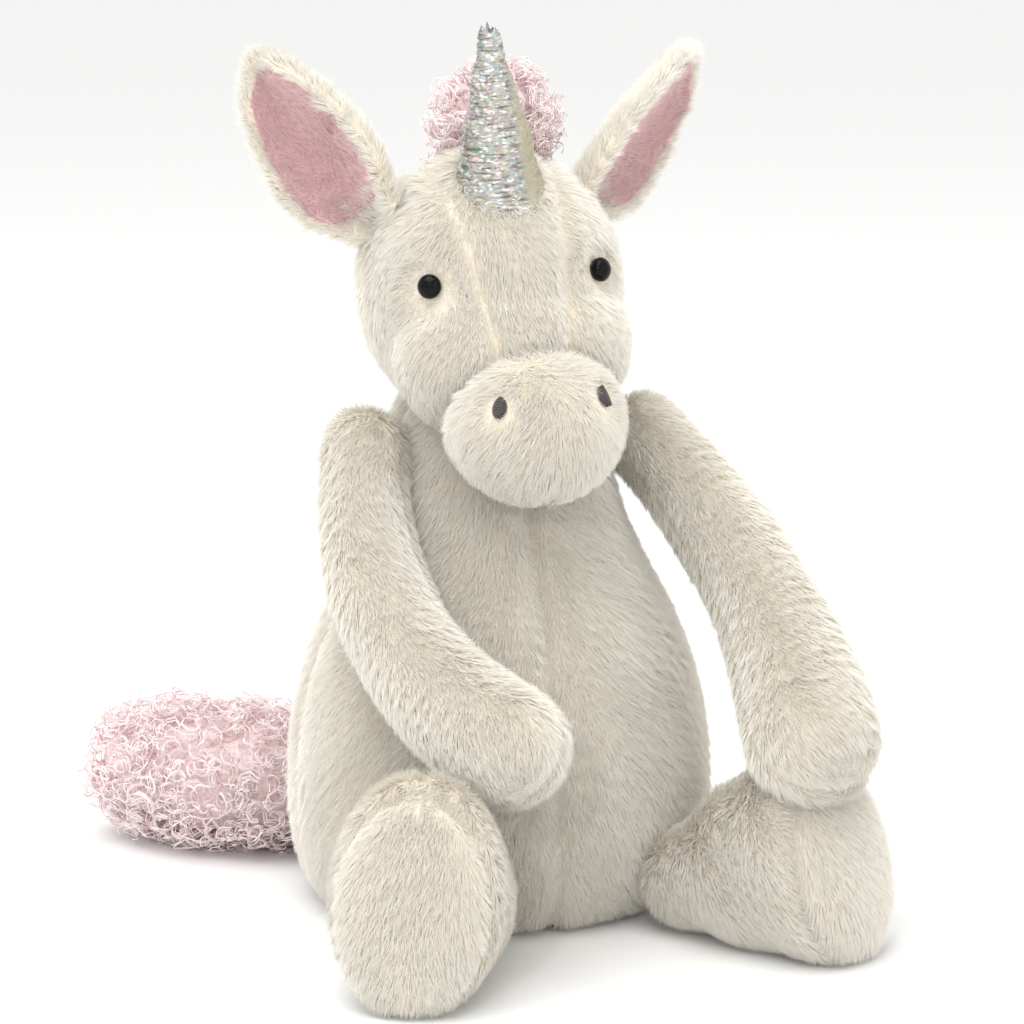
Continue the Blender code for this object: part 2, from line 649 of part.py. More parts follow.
shoulder_height = BODY_HEIGHT + SHOULDER_RISE
shoulder_width = body_half_width(BODY_HEIGHT * 0.97) + HINGE_GAP + ARM_DIAMETER / 2
left_shoulder = Vector((shoulder_width + LEFT_SHOULDER_OUT, -SHOULDER_FORWARD, shoulder_height))
right_shoulder = Vector((-shoulder_width - RIGHT_SHOULDER_OUT, -SHOULDER_FORWARD, shoulder_height))
left_paw_height = FOOT_HEIGHT + LEFT_PAW_OVER_FOOT
right_paw_height = FOOT_HEIGHT + RIGHT_PAW_OVER_FOOT
arm("left", left_shoulder, Vector((15, -34, -29)), Vector((1, -46, 0)), left_paw_height)
arm("right", right_shoulder, Vector((-2, -26, -36)), Vector((22, -41, 0)), right_paw_height)


# ---- legs: two panels and a sole each, stuffing and a pellet pouch in the foot ----
def leg(side_name, splay):
    heading = X * math.sin(splay) - Y * math.cos(splay)
    direction = heading * math.cos(LEG_RISE) + Z * math.sin(LEG_RISE)
    reach = LEG_LENGTH - HIP_DIAMETER / 2 - SOLE_ROUNDING
    hip_height = FOOT_HEIGHT / 2 * math.cos(LEG_RISE) - reach * math.sin(LEG_RISE)
    hip_distance = body_reach(splay, hip_height) + HINGE_GAP + HIP_DIAMETER / 2
    hip = heading * hip_distance + Z * hip_height
    joint = soft_joint(side_name + "_hip_axis", hip, torso)
    points = (hip, hip + direction * reach / 2, hip + direction * reach)
    across = Z.cross(direction).normalized()
    start = (HIP_DIAMETER / 2,) * 3
    end = (FOOT_WIDTH / 2, FOOT_HEIGHT / 2, SOLE_ROUNDING)

    def form(inset):
        return limb(points, across, start, end, 16, inset, middle=3)

    left, right = both_sides(side_name + "_leg_seam", hip, across, joint)
    sole_place = hip + direction * (reach + SOLE_ROUNDING - SOLE_PANEL_DEPTH)
    sole_side, leg_side = both_sides(side_name + "_sole_seam", sole_place, direction, joint)
    outer_side, inner_side = (left, right) if splay > 0 else (right, left)
    for panel, side in (("outer", outer_side), ("inner", inner_side)):
        shell = hollow(form(0), form(PLUSH_THICKNESS))
        seams = [("INTERSECT", side), ("INTERSECT", leg_side)]
        piece(f"{side_name}_leg_{panel}_panel", shell, joint, CREAM, PANEL_ROUGHNESS, seams=seams)
    sole_shell = hollow(form(0), form(PLUSH_THICKNESS))
    piece(side_name + "_sole", sole_shell, joint, CREAM, PANEL_ROUGHNESS, seams=[("INTERSECT", sole_side)])
    ankle = hip + direction * reach / 2
    foot_side, shin_side = both_sides(side_name + "_foot_pouch_mouth", ankle, direction, joint)
    fill = PLUSH_THICKNESS + FILLING_GAP
    piece(side_name + "_leg_stuffing", form(fill), joint, FIBRE_WHITE, 1.0, seams=[("INTERSECT", shin_side)])
    piece(side_name + "_foot_pouch", form(fill), joint, POUCH_GREY, 0.9, seams=[("INTERSECT", foot_side)])


leg("left", LEFT_LEG_SPLAY)
leg("right", RIGHT_LEG_SPLAY)

# ---- tail: a fabric stub, a woven core tape, and curly yarn round it ----
tail_height = TAIL_DIAMETER / 2
stub_length = TAIL_DIAMETER / 2 - TAIL_TUCK
stub_radius = TAIL_STUB_DIAMETER / 2
stub_start = body_middle(tail_height) + Y * (body_reach(math.pi, tail_height) + HINGE_GAP + stub_radius)
stub_elbow = stub_start + Vector((0.0005, stub_length * 0.65, 0))
stub_end = stub_start + Vector((-0.0025, stub_length, 0))
tail_root = soft_joint("tail_swing_axis", stub_start, torso)
stub = limb((stub_start, stub_elbow, stub_end), Z, (stub_radius,) * 3, (stub_radius,) * 3, 12, middle=3)
piece("tail_stub", stub, tail_root, CREAM, PANEL_ROUGHNESS)

tail = soft_joint("tail_lift_axis", stub_end, tail_root)
tail_radius = TAIL_DIAMETER / 2
tape_radius = TAIL_TAPE_DIAMETER / 2
tail_reach = TAIL_LENGTH - TAIL_ROOT_ROUNDING - TAIL_TIP_ROUNDING
to_middle = Vector((-36, 6, 0)).normalized() * tail_reach * 0.45
to_end = to_middle + Vector((-30, 33, 0)).normalized() * tail_reach * 0.55
_, root_direction = bend((Vector(), to_middle, to_end), 0)
tail_start = stub_end + root_direction * (stub_radius + HINGE_GAP + TAIL_ROOT_ROUNDING)
tail_points = (tail_start, tail_start + to_middle, tail_start + to_end)


def tape_form(extra):
    """The tape along the middle of the tail, stopping short of its tip."""
    radius = tape_radius + extra
    tape_middle, _ = bend(tail_points, 0.45)
    tape_end, _ = bend(tail_points, 0.9)
    ends = (radius, radius, TAIL_ROOT_ROUNDING)
    return limb((tail_start, tape_middle, tape_end), Z, ends, (radius,) * 3, 12)


yarn_root = (tail_radius, tail_radius, TAIL_ROOT_ROUNDING)
yarn_tip = (tail_radius, tail_radius, TAIL_TIP_ROUNDING)
yarn = limb(tail_points, Z, yarn_root, yarn_tip, 16, middle=6)
mouth_radius = tape_radius + FILLING_GAP
mouth_form = turned(tail_start, -root_direction, [(0, mouth_radius), (2 * tail_radius, mouth_radius)])
tape_mouth = guide("tape_mouth", mouth_form, tail)
tape_channel = guide("tape_channel", tape_form(FILLING_GAP), tail)
seams = [("DIFFERENCE", tape_channel), ("DIFFERENCE", tape_mouth)]
piece("tail_yarn", yarn, tail, PINK_YARN, 0.6, seams=seams)
piece("tail_tape", tape_form(0), tail, NYLON_WHITE, 0.8)
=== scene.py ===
import math

import bmesh
import bpy
import numpy as np
from mathutils import Matrix, Vector


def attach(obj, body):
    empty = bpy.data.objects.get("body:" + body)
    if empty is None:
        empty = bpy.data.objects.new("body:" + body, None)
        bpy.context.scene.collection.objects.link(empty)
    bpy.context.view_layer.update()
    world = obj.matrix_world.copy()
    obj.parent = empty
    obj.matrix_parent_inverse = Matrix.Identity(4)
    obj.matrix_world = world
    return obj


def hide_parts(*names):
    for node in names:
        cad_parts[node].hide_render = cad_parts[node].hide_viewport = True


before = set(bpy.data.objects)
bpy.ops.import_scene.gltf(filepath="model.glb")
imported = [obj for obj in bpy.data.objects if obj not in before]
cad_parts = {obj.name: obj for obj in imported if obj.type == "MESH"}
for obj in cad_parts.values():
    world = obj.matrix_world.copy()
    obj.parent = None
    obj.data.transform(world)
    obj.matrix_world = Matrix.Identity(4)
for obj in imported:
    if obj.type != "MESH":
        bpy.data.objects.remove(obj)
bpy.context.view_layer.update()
scene = bpy.context.scene
MM = 0.001

# ---- body: the seated sack ----
# Four plush panels and a round base, sewn with the pile outside and stuffed firm; the pile is woven
# into a knitted back and brushed, so it lies over downwards and parts along every seam.
# The neck goes up inside the head, which is sewn on round it.


def linear(colour):
    """An sRGB hex colour as the linear RGBA a shader works with."""
    shares = [int(colour[i : i + 2], 16) / 255 for i in (1, 3, 5)]
    return [c / 12.92 if c <= 0.04045 else ((c + 0.055) / 1.055) ** 2.4 for c in shares] + [1.0]


def node(material, kind, settings=None, links=None, stops=()):
    """Adds a shader node, sets its properties or sockets, links its inputs and colours a ramp's stops."""
    made = material.node_tree.nodes.new(kind)
    for key, value in (settings or {}).items():
        if isinstance(key, str) and hasattr(made, key):
            setattr(made, key, value)
        else:
            made.inputs[key].default_value = value
    for key, source in (links or {}).items():
        material.node_tree.links.new(source, made.inputs[key])
    for _ in stops[2:]:
        made.color_ramp.elements.new(0.5)
    for place, (position, colour) in enumerate(stops):
        made.color_ramp.elements[place].position = position
        made.color_ramp.elements[place].color = linear(colour)
    return made


def material_named(name):
    """An empty material of that name."""
    material = bpy.data.materials.new(name)
    material.use_nodes = True
    material.node_tree.nodes.clear()
    return material


def finish_material(material, settings, links, normal=None):
    """Closes a material with one Principled shader."""
    if normal:
        links = dict(links, Normal=normal)
    shader = node(material, "ShaderNodeBsdfPrincipled", settings, links)
    node(material, "ShaderNodeOutputMaterial", links={"Surface": shader.outputs[0]})
    return material


def brushed_pile(name, tip, middle, root, sheen, roughness=0.75):
    """Brushed pile: each lock is darker and warmer towards its root, painted shade deep in the pile, and
    locks differ a little.
    """
    material = material_named(name)
    place = node(material, "ShaderNodeUVMap", {"uv_map": "OFBake"})
    split = node(material, "ShaderNodeSeparateXYZ", links={0: place.outputs[0]})
    # painted shade: the colour runs from the tip to a darker, warmer root, for the shade deep among the
    # locks
    along = node(
        material,
        "ShaderNodeValToRGB",
        links={"Fac": split.outputs["Y"]},
        stops=[(0.0, root), (0.45, middle), (1.0, tip)],
    )
    # one tone for each of the 64 dye lots that the locks are sorted into
    lot = node(
        material,
        "ShaderNodeTexNoise",
        {"noise_dimensions": "1D", "Scale": 40.0},
        {"W": split.outputs["X"]},
    )
    tone = node(
        material,
        "ShaderNodeValToRGB",
        links={"Fac": lot.outputs[0]},
        stops=[(0.3, "#f3efe7"), (0.7, "#ffffff")],
    )
    colour = node(
        material,
        "ShaderNodeMix",
        {"data_type": "RGBA", "blend_type": "MULTIPLY", 0: 0.6},
        {6: along.outputs[0], 7: tone.outputs[0]},
    )
    return finish_material(
        material,
        {"Roughness": roughness, "Sheen Weight": sheen, "Sheen Roughness": 0.4, "Specular IOR Level": 0.3},
        {"Base Color": colour.outputs[2]},
    )


def knitted_backing(name, light, dark, loop=0.8 * MM):
    """The knitted back that the pile is rooted in: fine rows of loops, darker between them as painted
    shade, seen only where the pile parts.
    """
    material = material_named(name)
    place = node(material, "ShaderNodeTexCoord")
    loops = node(
        material,
        "ShaderNodeTexVoronoi",
        {"Scale": 1 / loop, "Randomness": 0.5},
        {"Vector": place.outputs["Object"]},
    )
    # painted shade: the colour darkens towards the edges of the loops, in the hollows that the bump sinks
    colour = node(
        material,
        "ShaderNodeValToRGB",
        links={"Fac": loops.outputs["Distance"]},
        stops=[(0.1, light), (0.7, dark)],
    )
    bump = node(
        material,
        "ShaderNodeBump",
        {"Strength": 0.4, "Distance": 0.2 * MM, "invert": True},
        {"Height": loops.outputs[0]},
    )
    return finish_material(
        material,
        {"Roughness": 0.9, "Sheen Weight": 0.3},
        {"Base Color": colour.outputs[0]},
        bump.outputs[0],
    )


# the root colour, the darkest, is painted shade deep in the pile
cream_pile = brushed_pile("Long pile plush, brushed", "#f7f5ef", "#f6f3eb", "#eee6d6", 0.3)
# the backing's dark colour is painted shade between its loops
cream_backing = knitted_backing("Plush backing, weft knitted", "#f0e9dc", "#e2d8c5")


def ripples(points, size, seed, count=9):
    """Smooth random waves about that size: their value, near -1 to 1, and their uphill direction."""
    random = np.random.default_rng(seed)
    direction = random.normal(size=(count, 3))
    direction /= np.linalg.norm(direction, axis=1)[:, None]
    pitch = 2 * np.pi / (size * random.uniform(0.7, 1.5, count))
    phase = points @ (direction * pitch[:, None]).T + random.uniform(0, 2 * np.pi, count)
    scale = math.sqrt(2 / count)
    uphill = np.cos(phase) @ direction * scale
    return np.sin(phase).sum(1) * scale, uphill


def unit(vectors):
    """Vectors drawn to a length of one."""
    return vectors / np.maximum(np.linalg.norm(vectors, axis=-1, keepdims=True), 1e-9)


def mesh_piece(name, corners, faces, material):
    """A piece of one material, from its corners and faces."""
    mesh = bpy.data.meshes.new(name)
    mesh.from_pydata([tuple(c) for c in corners], [], faces)
    made = bpy.data.objects.new(name, mesh)
    scene.collection.objects.link(made)
    mesh.materials.append(material)
    mesh.shade_smooth()
    return made


def loft(name, rings, material, segments=48):
    """A closed form through elliptical rings: (middle, side, up, half width, half height)."""
    angles = np.linspace(0, 2 * np.pi, segments, endpoint=False)
    corners = []
    for middle, side, up, width, height in rings:
        around = np.outer(np.cos(angles) * width, side) + np.outer(np.sin(angles) * height, up)
        corners.extend(np.array(middle) + around)
    faces = []
    for ring in range(len(rings) - 1):
        for i in range(segments):
            j = (i + 1) % segments
            a, b = ring * segments, (ring + 1) * segments
            faces.append((a + i, a + j, b + j, b + i))
    faces.append(tuple(reversed(range(segments))))
    last = (len(rings) - 1) * segments
    faces.append(tuple(last + i for i in range(segments)))
    return mesh_piece(name, corners, faces, material)


def settled(piece):
    """Applies a piece's modifiers."""
    depsgraph = bpy.context.evaluated_depsgraph_get()
    mesh = bpy.data.meshes.new_from_object(piece.evaluated_get(depsgraph))
    piece.modifiers.clear()
    piece.data = mesh
    mesh.name = piece.name
    mesh.shade_smooth()
    return piece


def even(piece, voxel, smoothing):
    """Gives a piece an even mesh and rounds off its creases."""
    remesh = piece.modifiers.new("even", "REMESH")
    remesh.mode = "VOXEL"
    remesh.voxel_size = voxel
    smooth = piece.modifiers.new("round", "SMOOTH")
    smooth.factor = 0.5
    smooth.iterations = smoothing
    return settled(piece)


def mesh_arrays(piece):
    """A mesh's corners, normals and triangles as arrays."""
    mesh = piece.data
    mesh.calc_loop_triangles()
    corners = np.zeros(len(mesh.vertices) * 3, np.float32)
    mesh.vertices.foreach_get("co", corners)
    normals = np.zeros(len(mesh.vertices) * 3, np.float32)
    mesh.vertex_normals.foreach_get("vector", normals)
    triangles = np.zeros(len(mesh.loop_triangles) * 3, np.int32)
    mesh.loop_triangles.foreach_get("vertices", triangles)
    return (
        corners.reshape(-1, 3).astype(float),
        normals.reshape(-1, 3).astype(float),
        triangles.reshape(-1, 3),
    )


def pulled_in(piece, seams, depth, width):
    """A seam's thread pulls the cloth in along its line."""
    corners, normals, _ = mesh_arrays(piece)
    for seam in seams:
        corners = corners - normals * (depth * np.exp(-((seam(corners) / width) ** 2)))[:, None]
    piece.data.vertices.foreach_set("co", corners.ravel())
    piece.data.update()
    return piece


def stuffed(piece, seams, most=1.2 * MM, pressure=22.0):
    """Stuffing swells the cloth between its seams, where the thread holds it, by up to that much."""
    before, _, _ = mesh_arrays(piece)
    held = piece.vertex_groups.new(name="sewn")
    for seam in seams:
        for index in np.flatnonzero(np.abs(seam(before)) < 1.6 * MM):
            held.add([int(index)], 1.0, "REPLACE")
    # the solver's forces suit pieces about a metre across, so it works at eight times the toy's size
    piece.scale = (8, 8, 8)
    cloth = piece.modifiers.new("stuffing", "CLOTH")
    cloth.settings.vertex_group_mass = "sewn"
    cloth.settings.use_pressure = True
    cloth.settings.uniform_pressure_force = pressure
    cloth.settings.effector_weights.gravity = 0.0
    cloth.settings.quality = 4
    for step in range(1, 21):
        scene.frame_set(step)
    settled(piece)
    scene.frame_set(1)
    piece.scale = (1, 1, 1)
    after, _, _ = mesh_arrays(piece)
    moved = after - before
    far = np.linalg.norm(moved, axis=1)[:, None]
    corners = before + moved * np.minimum(1.0, most / np.maximum(far, 1e-9))
    piece.data.vertices.foreach_set("co", corners.ravel())
    piece.data.update()
    piece.vertex_groups.clear()
    finer = piece.modifiers.new("finer", "SUBSURF")
    finer.levels = 1
    finer.render_levels = 1
    return settled(piece)


def thickened(piece, depth):
    """Moves a skin outwards, to where the pile is too thick to see into."""
    corners, normals, _ = mesh_arrays(piece)
    corners = corners + normals * depth
    corners[:, 2] = np.maximum(corners[:, 2], 0.2 * MM)
    piece.data.vertices.foreach_set("co", corners.ravel())
    piece.data.update()
    return piece


UNDERCOAT = 1.6 * MM


def pile(
    name,
    skin,
    material,
    comb,
    seed,
    length=5.0 * MM,
    height=2.2 * MM,
    density=5.6,
    width=0.245 * MM,
    seams=(),
    keep=None,
    locks=3.2 * MM,
    swirl=0.38,
    tidy=0.42,
):
    """Pile on a skin: tapered locks of fibre, rooted in it and bent over the way comb points.

    density is locks to a square millimetre, seams are distances from seam lines, and keep scales each
    lock's length, nought leaving it out.
    """
    corners, normals, triangles = mesh_arrays(skin)
    random = np.random.default_rng(seed)
    a, b, c = (corners[triangles[:, i]] for i in range(3))
    areas = np.linalg.norm(np.cross(b - a, c - a), axis=1) / 2
    count = int(areas.sum() * 1e6 * density)
    picked = random.choice(len(areas), count, p=areas / areas.sum())
    s, t = random.random(count), random.random(count)
    over = s + t > 1
    s[over], t[over] = 1 - s[over], 1 - t[over]
    shares = np.stack([1 - s - t, s, t], 1)
    root = np.einsum("ij,ijk->ik", shares, corners[triangles[picked]])
    normal = unit(np.einsum("ij,ijk->ik", shares, normals[triangles[picked]]))

    grown = np.ones(count) if keep is None else keep(root)
    parting = np.zeros(count)
    for seam in seams:
        parting = np.maximum(parting, np.exp(-((seam(root) / (1.5 * MM)) ** 2)))
    grown = grown * (1 - 0.55 * parting)
    alive = grown > 0.08
    root, normal, grown, parting = root[alive], normal[alive], grown[alive], parting[alive]
    count = len(root)

    # the way the pile is brushed, with slow swirls, and then locks drawn together
    way = comb(root)
    _, drift = ripples(root, 26 * MM, seed + 1)
    way = unit(way) + drift * swirl
    way += random.normal(size=(count, 3)) * 0.2
    way = unit(way - normal * np.einsum("ij,ij->i", way, normal)[:, None])
    crest, draw = ripples(root, locks, seed + 2)
    fine_crest, fine_draw = ripples(root, locks * 0.4, seed + 3)
    long_crest, _ = ripples(root, locks * 5, seed + 4)

    lock = length * grown * (1 + 0.10 * random.normal(size=count))
    rise = height * grown * (1 + 0.10 * crest + 0.06 * fine_crest + 0.08 * random.normal(size=count))
    reach = np.sqrt(np.maximum(lock**2 - rise**2, (0.35 * lock) ** 2))
    pull = (draw * 0.55 + fine_draw * 0.3) * (locks * tidy * 0.5) * grown[:, None]
    pull -= normal * np.einsum("ij,ij->i", pull, normal)[:, None]
    tip = root + normal * rise[:, None] + way * reach[:, None] + pull
    root = root - normal * (0.3 * MM)
    tip[:, 2] = np.maximum(tip[:, 2], 0.25 * MM)

    # each lock is a slim three-sided spike with its ridge uppermost
    heading = unit(tip - root)
    across = unit(np.cross(heading, normal))
    above = np.cross(across, heading)
    half = (width * (0.7 + 0.6 * random.random(count)) / 2)[:, None]
    ridge = root + above * half
    left = root - above * half * 0.5 + across * half * 0.87
    right = root - above * half * 0.5 - across * half * 0.87
    corner = np.stack([ridge, left, right, tip], 1)
    shade = 0.5 + 0.16 * long_crest + 0.10 * crest + 0.10 * random.normal(size=count)
    lot = np.clip(np.floor(shade * 64), 0, 63)
    low, high = (lot + 0.2) / 64, (lot + 0.8) / 64
    ends = np.tile(np.stack([low, high, (low + high) / 2], 1), (1, 3))
    heights = np.tile([0.02, 0.02, 0.98], (count, 3))

    mesh = bpy.data.meshes.new(name)
    mesh.vertices.add(count * 4)
    mesh.vertices.foreach_set("co", corner.reshape(-1).astype(np.float32))
    order = np.array([0, 1, 3, 1, 2, 3, 2, 0, 3])
    mesh.loops.add(count * 9)
    indices = np.arange(count)[:, None] * 4 + order
    mesh.loops.foreach_set("vertex_index", indices.reshape(-1).astype(np.int32))
    mesh.polygons.add(count * 3)
    starts = (np.arange(count)[:, None] * 9 + np.array([0, 3, 6])).reshape(-1).astype(np.int32)
    mesh.polygons.foreach_set("loop_start", starts)
    mesh.update(calc_edges=True)
    layer = mesh.uv_layers.new(name="OFBake")
    layer.data.foreach_set("uv", np.stack([ends, heights], 2).reshape(-1).astype(np.float32))
    mesh.shade_flat()
    mesh.materials.append(material)
    made = bpy.data.objects.new(name, mesh)
    scene.collection.objects.link(made)
    made.parent = skin
    return made


BODY_HEIGHT = 121.0  # mm, to the neck
NECK_LEAN = 6.0  # mm that the neck stands behind the seat
BODY_RINGS = [  # height, half width, mm
    (0.8, 40.0),
    (2.5, 45.5),
    (7.0, 49.5),
    (14.0, 52.2),
    (25.0, 53.8),
    (40.0, 53.6),
    (54.0, 51.8),
    (66.0, 48.6),
    (78.0, 43.6),
    (90.0, 37.2),
    (102.0, 32.0),
    (114.0, 29.0),
    (126.0, 26.5),
    (134.0, 23.0),
    (140.0, 18.0),
    (145.0, 9.0),
]
body_rings = []
for height, half_width in BODY_RINGS:
    back = NECK_LEAN * min(height / BODY_HEIGHT, 1.0) ** 2 - 0.14 * max(height - BODY_HEIGHT, 0.0)
    depth = half_width * 0.88
    body_rings.append(((0, back * MM, height * MM), (1, 0, 0), (0, 1, 0), half_width * MM, depth * MM))
body = even(loft("body", body_rings, cream_backing, 64), 3.0 * MM, 4)


def centre_front_seam(points):
    """The seam down the middle of the front."""
    return np.where(points[:, 1] < 10 * MM, points[:, 0], 1.0)


def side_seam(points):
    """The seams down both sides, between the front panels and the back ones."""
    return points[:, 1] - 2 * MM


def down_the_body(points):
    """Brushed down and away from the centre seam."""
    way = np.zeros_like(points)
    way[:, 2] = -1.0
    way[:, 0] = np.clip(points[:, 0] / (20 * MM), -1, 1) * 0.45
    return way


stuffed(body, [centre_front_seam, side_seam])
def body_keep(points):
    """No pile where the head is sewn over the neck, nor under the flat of the base."""
    shown = np.where(points[:, 2] > 139 * MM, 0.0, 1.0)
    return np.where(points[:, 2] < 1.2 * MM, 0.0, shown)


thickened(body, UNDERCOAT)
pulled_in(body, [centre_front_seam, side_seam], 1.2 * MM, 3 * MM)
body_pile = pile(
    "body_pile",
    body,
    cream_pile,
    down_the_body,
    11,
    seams=(centre_front_seam, side_seam),
    keep=body_keep,
)
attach(body, "torso")
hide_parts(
    "body_front_left_panel",
    "body_front_right_panel",
    "body_back_left_panel",
    "body_back_right_panel",
    "base_panel",
)

# ---- head and muzzle ----
# Two cheeks with a gusset between them from the nape over the crown to the nose, and a muzzle of its
# own three panels sewn on round a seam that draws in to a crease; all stuffed firm.
NECK_PIVOT = Vector((0, 6, 126)) * MM
HEAD_TILT = Matrix.Rotation(math.radians(-3.5), 4, "Y")
HEAD_MIDDLE = Vector((0, 2, 164.5)) * MM
HEAD_RADII = Vector((32, 30, 33.5)) * MM
MUZZLE_MIDDLE = HEAD_MIDDLE + Vector((0, -31.5, -31.5)) * MM
MUZZLE_DROOP = math.radians(22)
MUZZLE_RADII = Vector((20.5, 21, 17.5)) * MM
MUZZLE_OUT = Vector((0, -math.cos(MUZZLE_DROOP), -math.sin(MUZZLE_DROOP)))
MUZZLE_UP = Vector((0, -math.sin(MUZZLE_DROOP), math.cos(MUZZLE_DROOP)))
HEAD_PLACE = Matrix.Translation(NECK_PIVOT) @ HEAD_TILT @ Matrix.Translation(-NECK_PIVOT)
head_turn = np.array(HEAD_PLACE.to_3x3())
head_shift = np.array(HEAD_PLACE.translation)


def in_head(points):
    """Points of the toy as the head sees them, upright about its own middle."""
    return (points - head_shift) @ head_turn - np.array(HEAD_MIDDLE)


def egg(name, middle, radii, axis_turn, material):
    """An egg-shaped form of those three radii."""
    made = bmesh.new()
    bmesh.ops.create_icosphere(made, subdivisions=5, radius=1.0)
    place = Matrix.Translation(middle) @ axis_turn @ Matrix.Diagonal((*radii, 1.0))
    made.transform(place)
    mesh = bpy.data.meshes.new(name)
    made.to_mesh(mesh)
    made.free()
    mesh.materials.append(material)
    piece = bpy.data.objects.new(name, mesh)
    scene.collection.objects.link(piece)
    return piece


def joined(pieces, name):
    """One piece made of several, which goes by that name."""
    together = bmesh.new()
    for piece in pieces:
        together.from_mesh(piece.data)
    mesh = bpy.data.meshes.new(name)
    together.to_mesh(mesh)
    together.free()
    mesh.materials.append(pieces[0].data.materials[0])
    for piece in pieces:
        bpy.data.objects.remove(piece)
    made = bpy.data.objects.new(name, mesh)
    scene.collection.objects.link(made)
    return made


def egg_depth(seen, middle, radii, droop=0.0):
    """Roughly how far points stand outside an egg, in the head's own axes."""
    off = seen - np.array(middle)
    turned = np.stack(
        [
            off[:, 0],
            off[:, 1] * math.cos(droop) + off[:, 2] * math.sin(droop),
            off[:, 2] * math.cos(droop) - off[:, 1] * math.sin(droop),
        ],
        1,
    )
    return (np.linalg.norm(turned / np.array(radii), axis=1) - 1) * min(radii)


BRIDGE_OFFSET = Vector((0, -16, -14.5)) * MM
BRIDGE_RADII = Vector((29, 19.5, 22)) * MM


def muzzle_seam(points):
    """Runs where the muzzle meets the face; positive on the muzzle."""
    seen = in_head(points)
    face = np.minimum(egg_depth(seen, (0, 0, 0), HEAD_RADII), egg_depth(seen, BRIDGE_OFFSET, BRIDGE_RADII))
    return face - egg_depth(seen, MUZZLE_MIDDLE - HEAD_MIDDLE, MUZZLE_RADII, MUZZLE_DROOP)


droop = Matrix.Rotation(MUZZLE_DROOP, 4, "X")
head = joined(
    [
        egg("skull", HEAD_MIDDLE, HEAD_RADII, Matrix.Identity(4), cream_backing),
        egg("nose", MUZZLE_MIDDLE, MUZZLE_RADII, droop, cream_backing),
        egg("bridge", HEAD_MIDDLE + BRIDGE_OFFSET, BRIDGE_RADII, Matrix.Identity(4), cream_backing),
    ],
    "head",
)
head.data.transform(HEAD_PLACE)
even(head, 2.2 * MM, 7)


def gusset_seams(points):
    """The two seams of the head's gusset, which widens towards the crown."""
    seen = in_head(points)
    half = (11 + 3.0 * np.clip((seen[:, 2]) / (30 * MM), -1, 1)) * MM
    before = muzzle_seam(points) < 0
    return np.where(before, np.abs(seen[:, 0]) - half, 1.0)


def chin_seam(points):
    """The seam under the chin, between the muzzle's two lower panels."""
    seen = in_head(points)
    under = (muzzle_seam(points) > 0) & (seen @ np.array(MUZZLE_UP) < -25 * MM)
    return np.where(under, seen[:, 0], 1.0)


# where the eyes and the nostrils sit: side, place and the way they face
EYES = []
for side in (1, -1):
    aim = Vector((side * 0.71, -0.70, 0.13))
    share = Vector(a / r for a, r in zip(aim, HEAD_RADII))
    spot = HEAD_MIDDLE + aim / share.length
    outward = Vector(a / r / r for a, r in zip(aim, HEAD_RADII)).normalized()
    EYES.append((side, HEAD_PLACE @ spot, (HEAD_TILT @ outward).normalized()))

NOSTRILS = []
for side in (1, -1):
    x, y = side * 0.62, 0.60
    z = math.sqrt(1 - x * x - y * y)
    a, c, b = MUZZLE_RADII
    across = Vector((1, 0, 0))
    spot = MUZZLE_MIDDLE + across * a * x + MUZZLE_UP * b * y + MUZZLE_OUT * c * z
    outward = (across * x / a + MUZZLE_UP * y / b + MUZZLE_OUT * z / c).normalized()
    NOSTRILS.append((side, HEAD_PLACE @ spot, (HEAD_TILT @ outward).normalized()))


def over_the_face(points):
    """Brushed down the face, back over the cheeks, and away from the eyes and nostrils."""
    seen = in_head(points)
    way = np.zeros_like(points)
    way[:, 2] = -1.0
    way[:, 1] = -0.35
    side = np.clip(seen[:, 0] / (14 * MM), -1, 1)
    way[:, 0] = side * 0.35
    # it parts along the gusset's seams
    parting = gusset_seams(points)
    near = np.exp(-((parting / (4 * MM)) ** 2))
    way[:, 0] += np.sign(seen[:, 0]) * np.sign(parting) * near * 0.3
    on_muzzle = muzzle_seam(points) > 0
    way[on_muzzle] = np.stack([side * 0.3, np.full_like(side, 0.3), np.full_like(side, -1.0)], 1)[on_muzzle]
    for _, spot, _ in EYES:
        off = points - np.array(spot)
        near = np.exp(-((np.linalg.norm(off, axis=1) / (7 * MM)) ** 2))
        way += unit(off) * (near * 4)[:, None]
    for _, spot, _ in NOSTRILS:
        off = points - np.array(spot)
        near = np.exp(-((np.linalg.norm(off, axis=1) / (4 * MM)) ** 2))
        way += unit(off) * (near * 4)[:, None]
    return way


def face_keep(points):
    """The pile is clipped short round the eyes and nostrils."""
    kept = np.ones(len(points))
    for spots, bare, full in ((EYES, 3.3 * MM, 8 * MM), (NOSTRILS, 2.6 * MM, 5.5 * MM)):
        for _, spot, _ in spots:
            away = np.linalg.norm(points - np.array(spot), axis=1)
            share = np.clip((away - bare) / (full - bare), 0, 1)
            kept = np.minimum(kept, np.where(away < bare, 0.0, 0.3 + 0.7 * share))
    return kept


stuffed(head, [muzzle_seam, gusset_seams])
thickened(head, UNDERCOAT)
pulled_in(head, [muzzle_seam, gusset_seams], 1.2 * MM, 2.5 * MM)
pulled_in(head, [chin_seam], 0.8 * MM, 1.5 * MM)


def round_the_eyes(points):
    """How far points are from the nearer eye: its shank pulls the cloth in."""
    return np.min([np.linalg.norm(points - np.array(spot), axis=1) for _, spot, _ in EYES], axis=0)


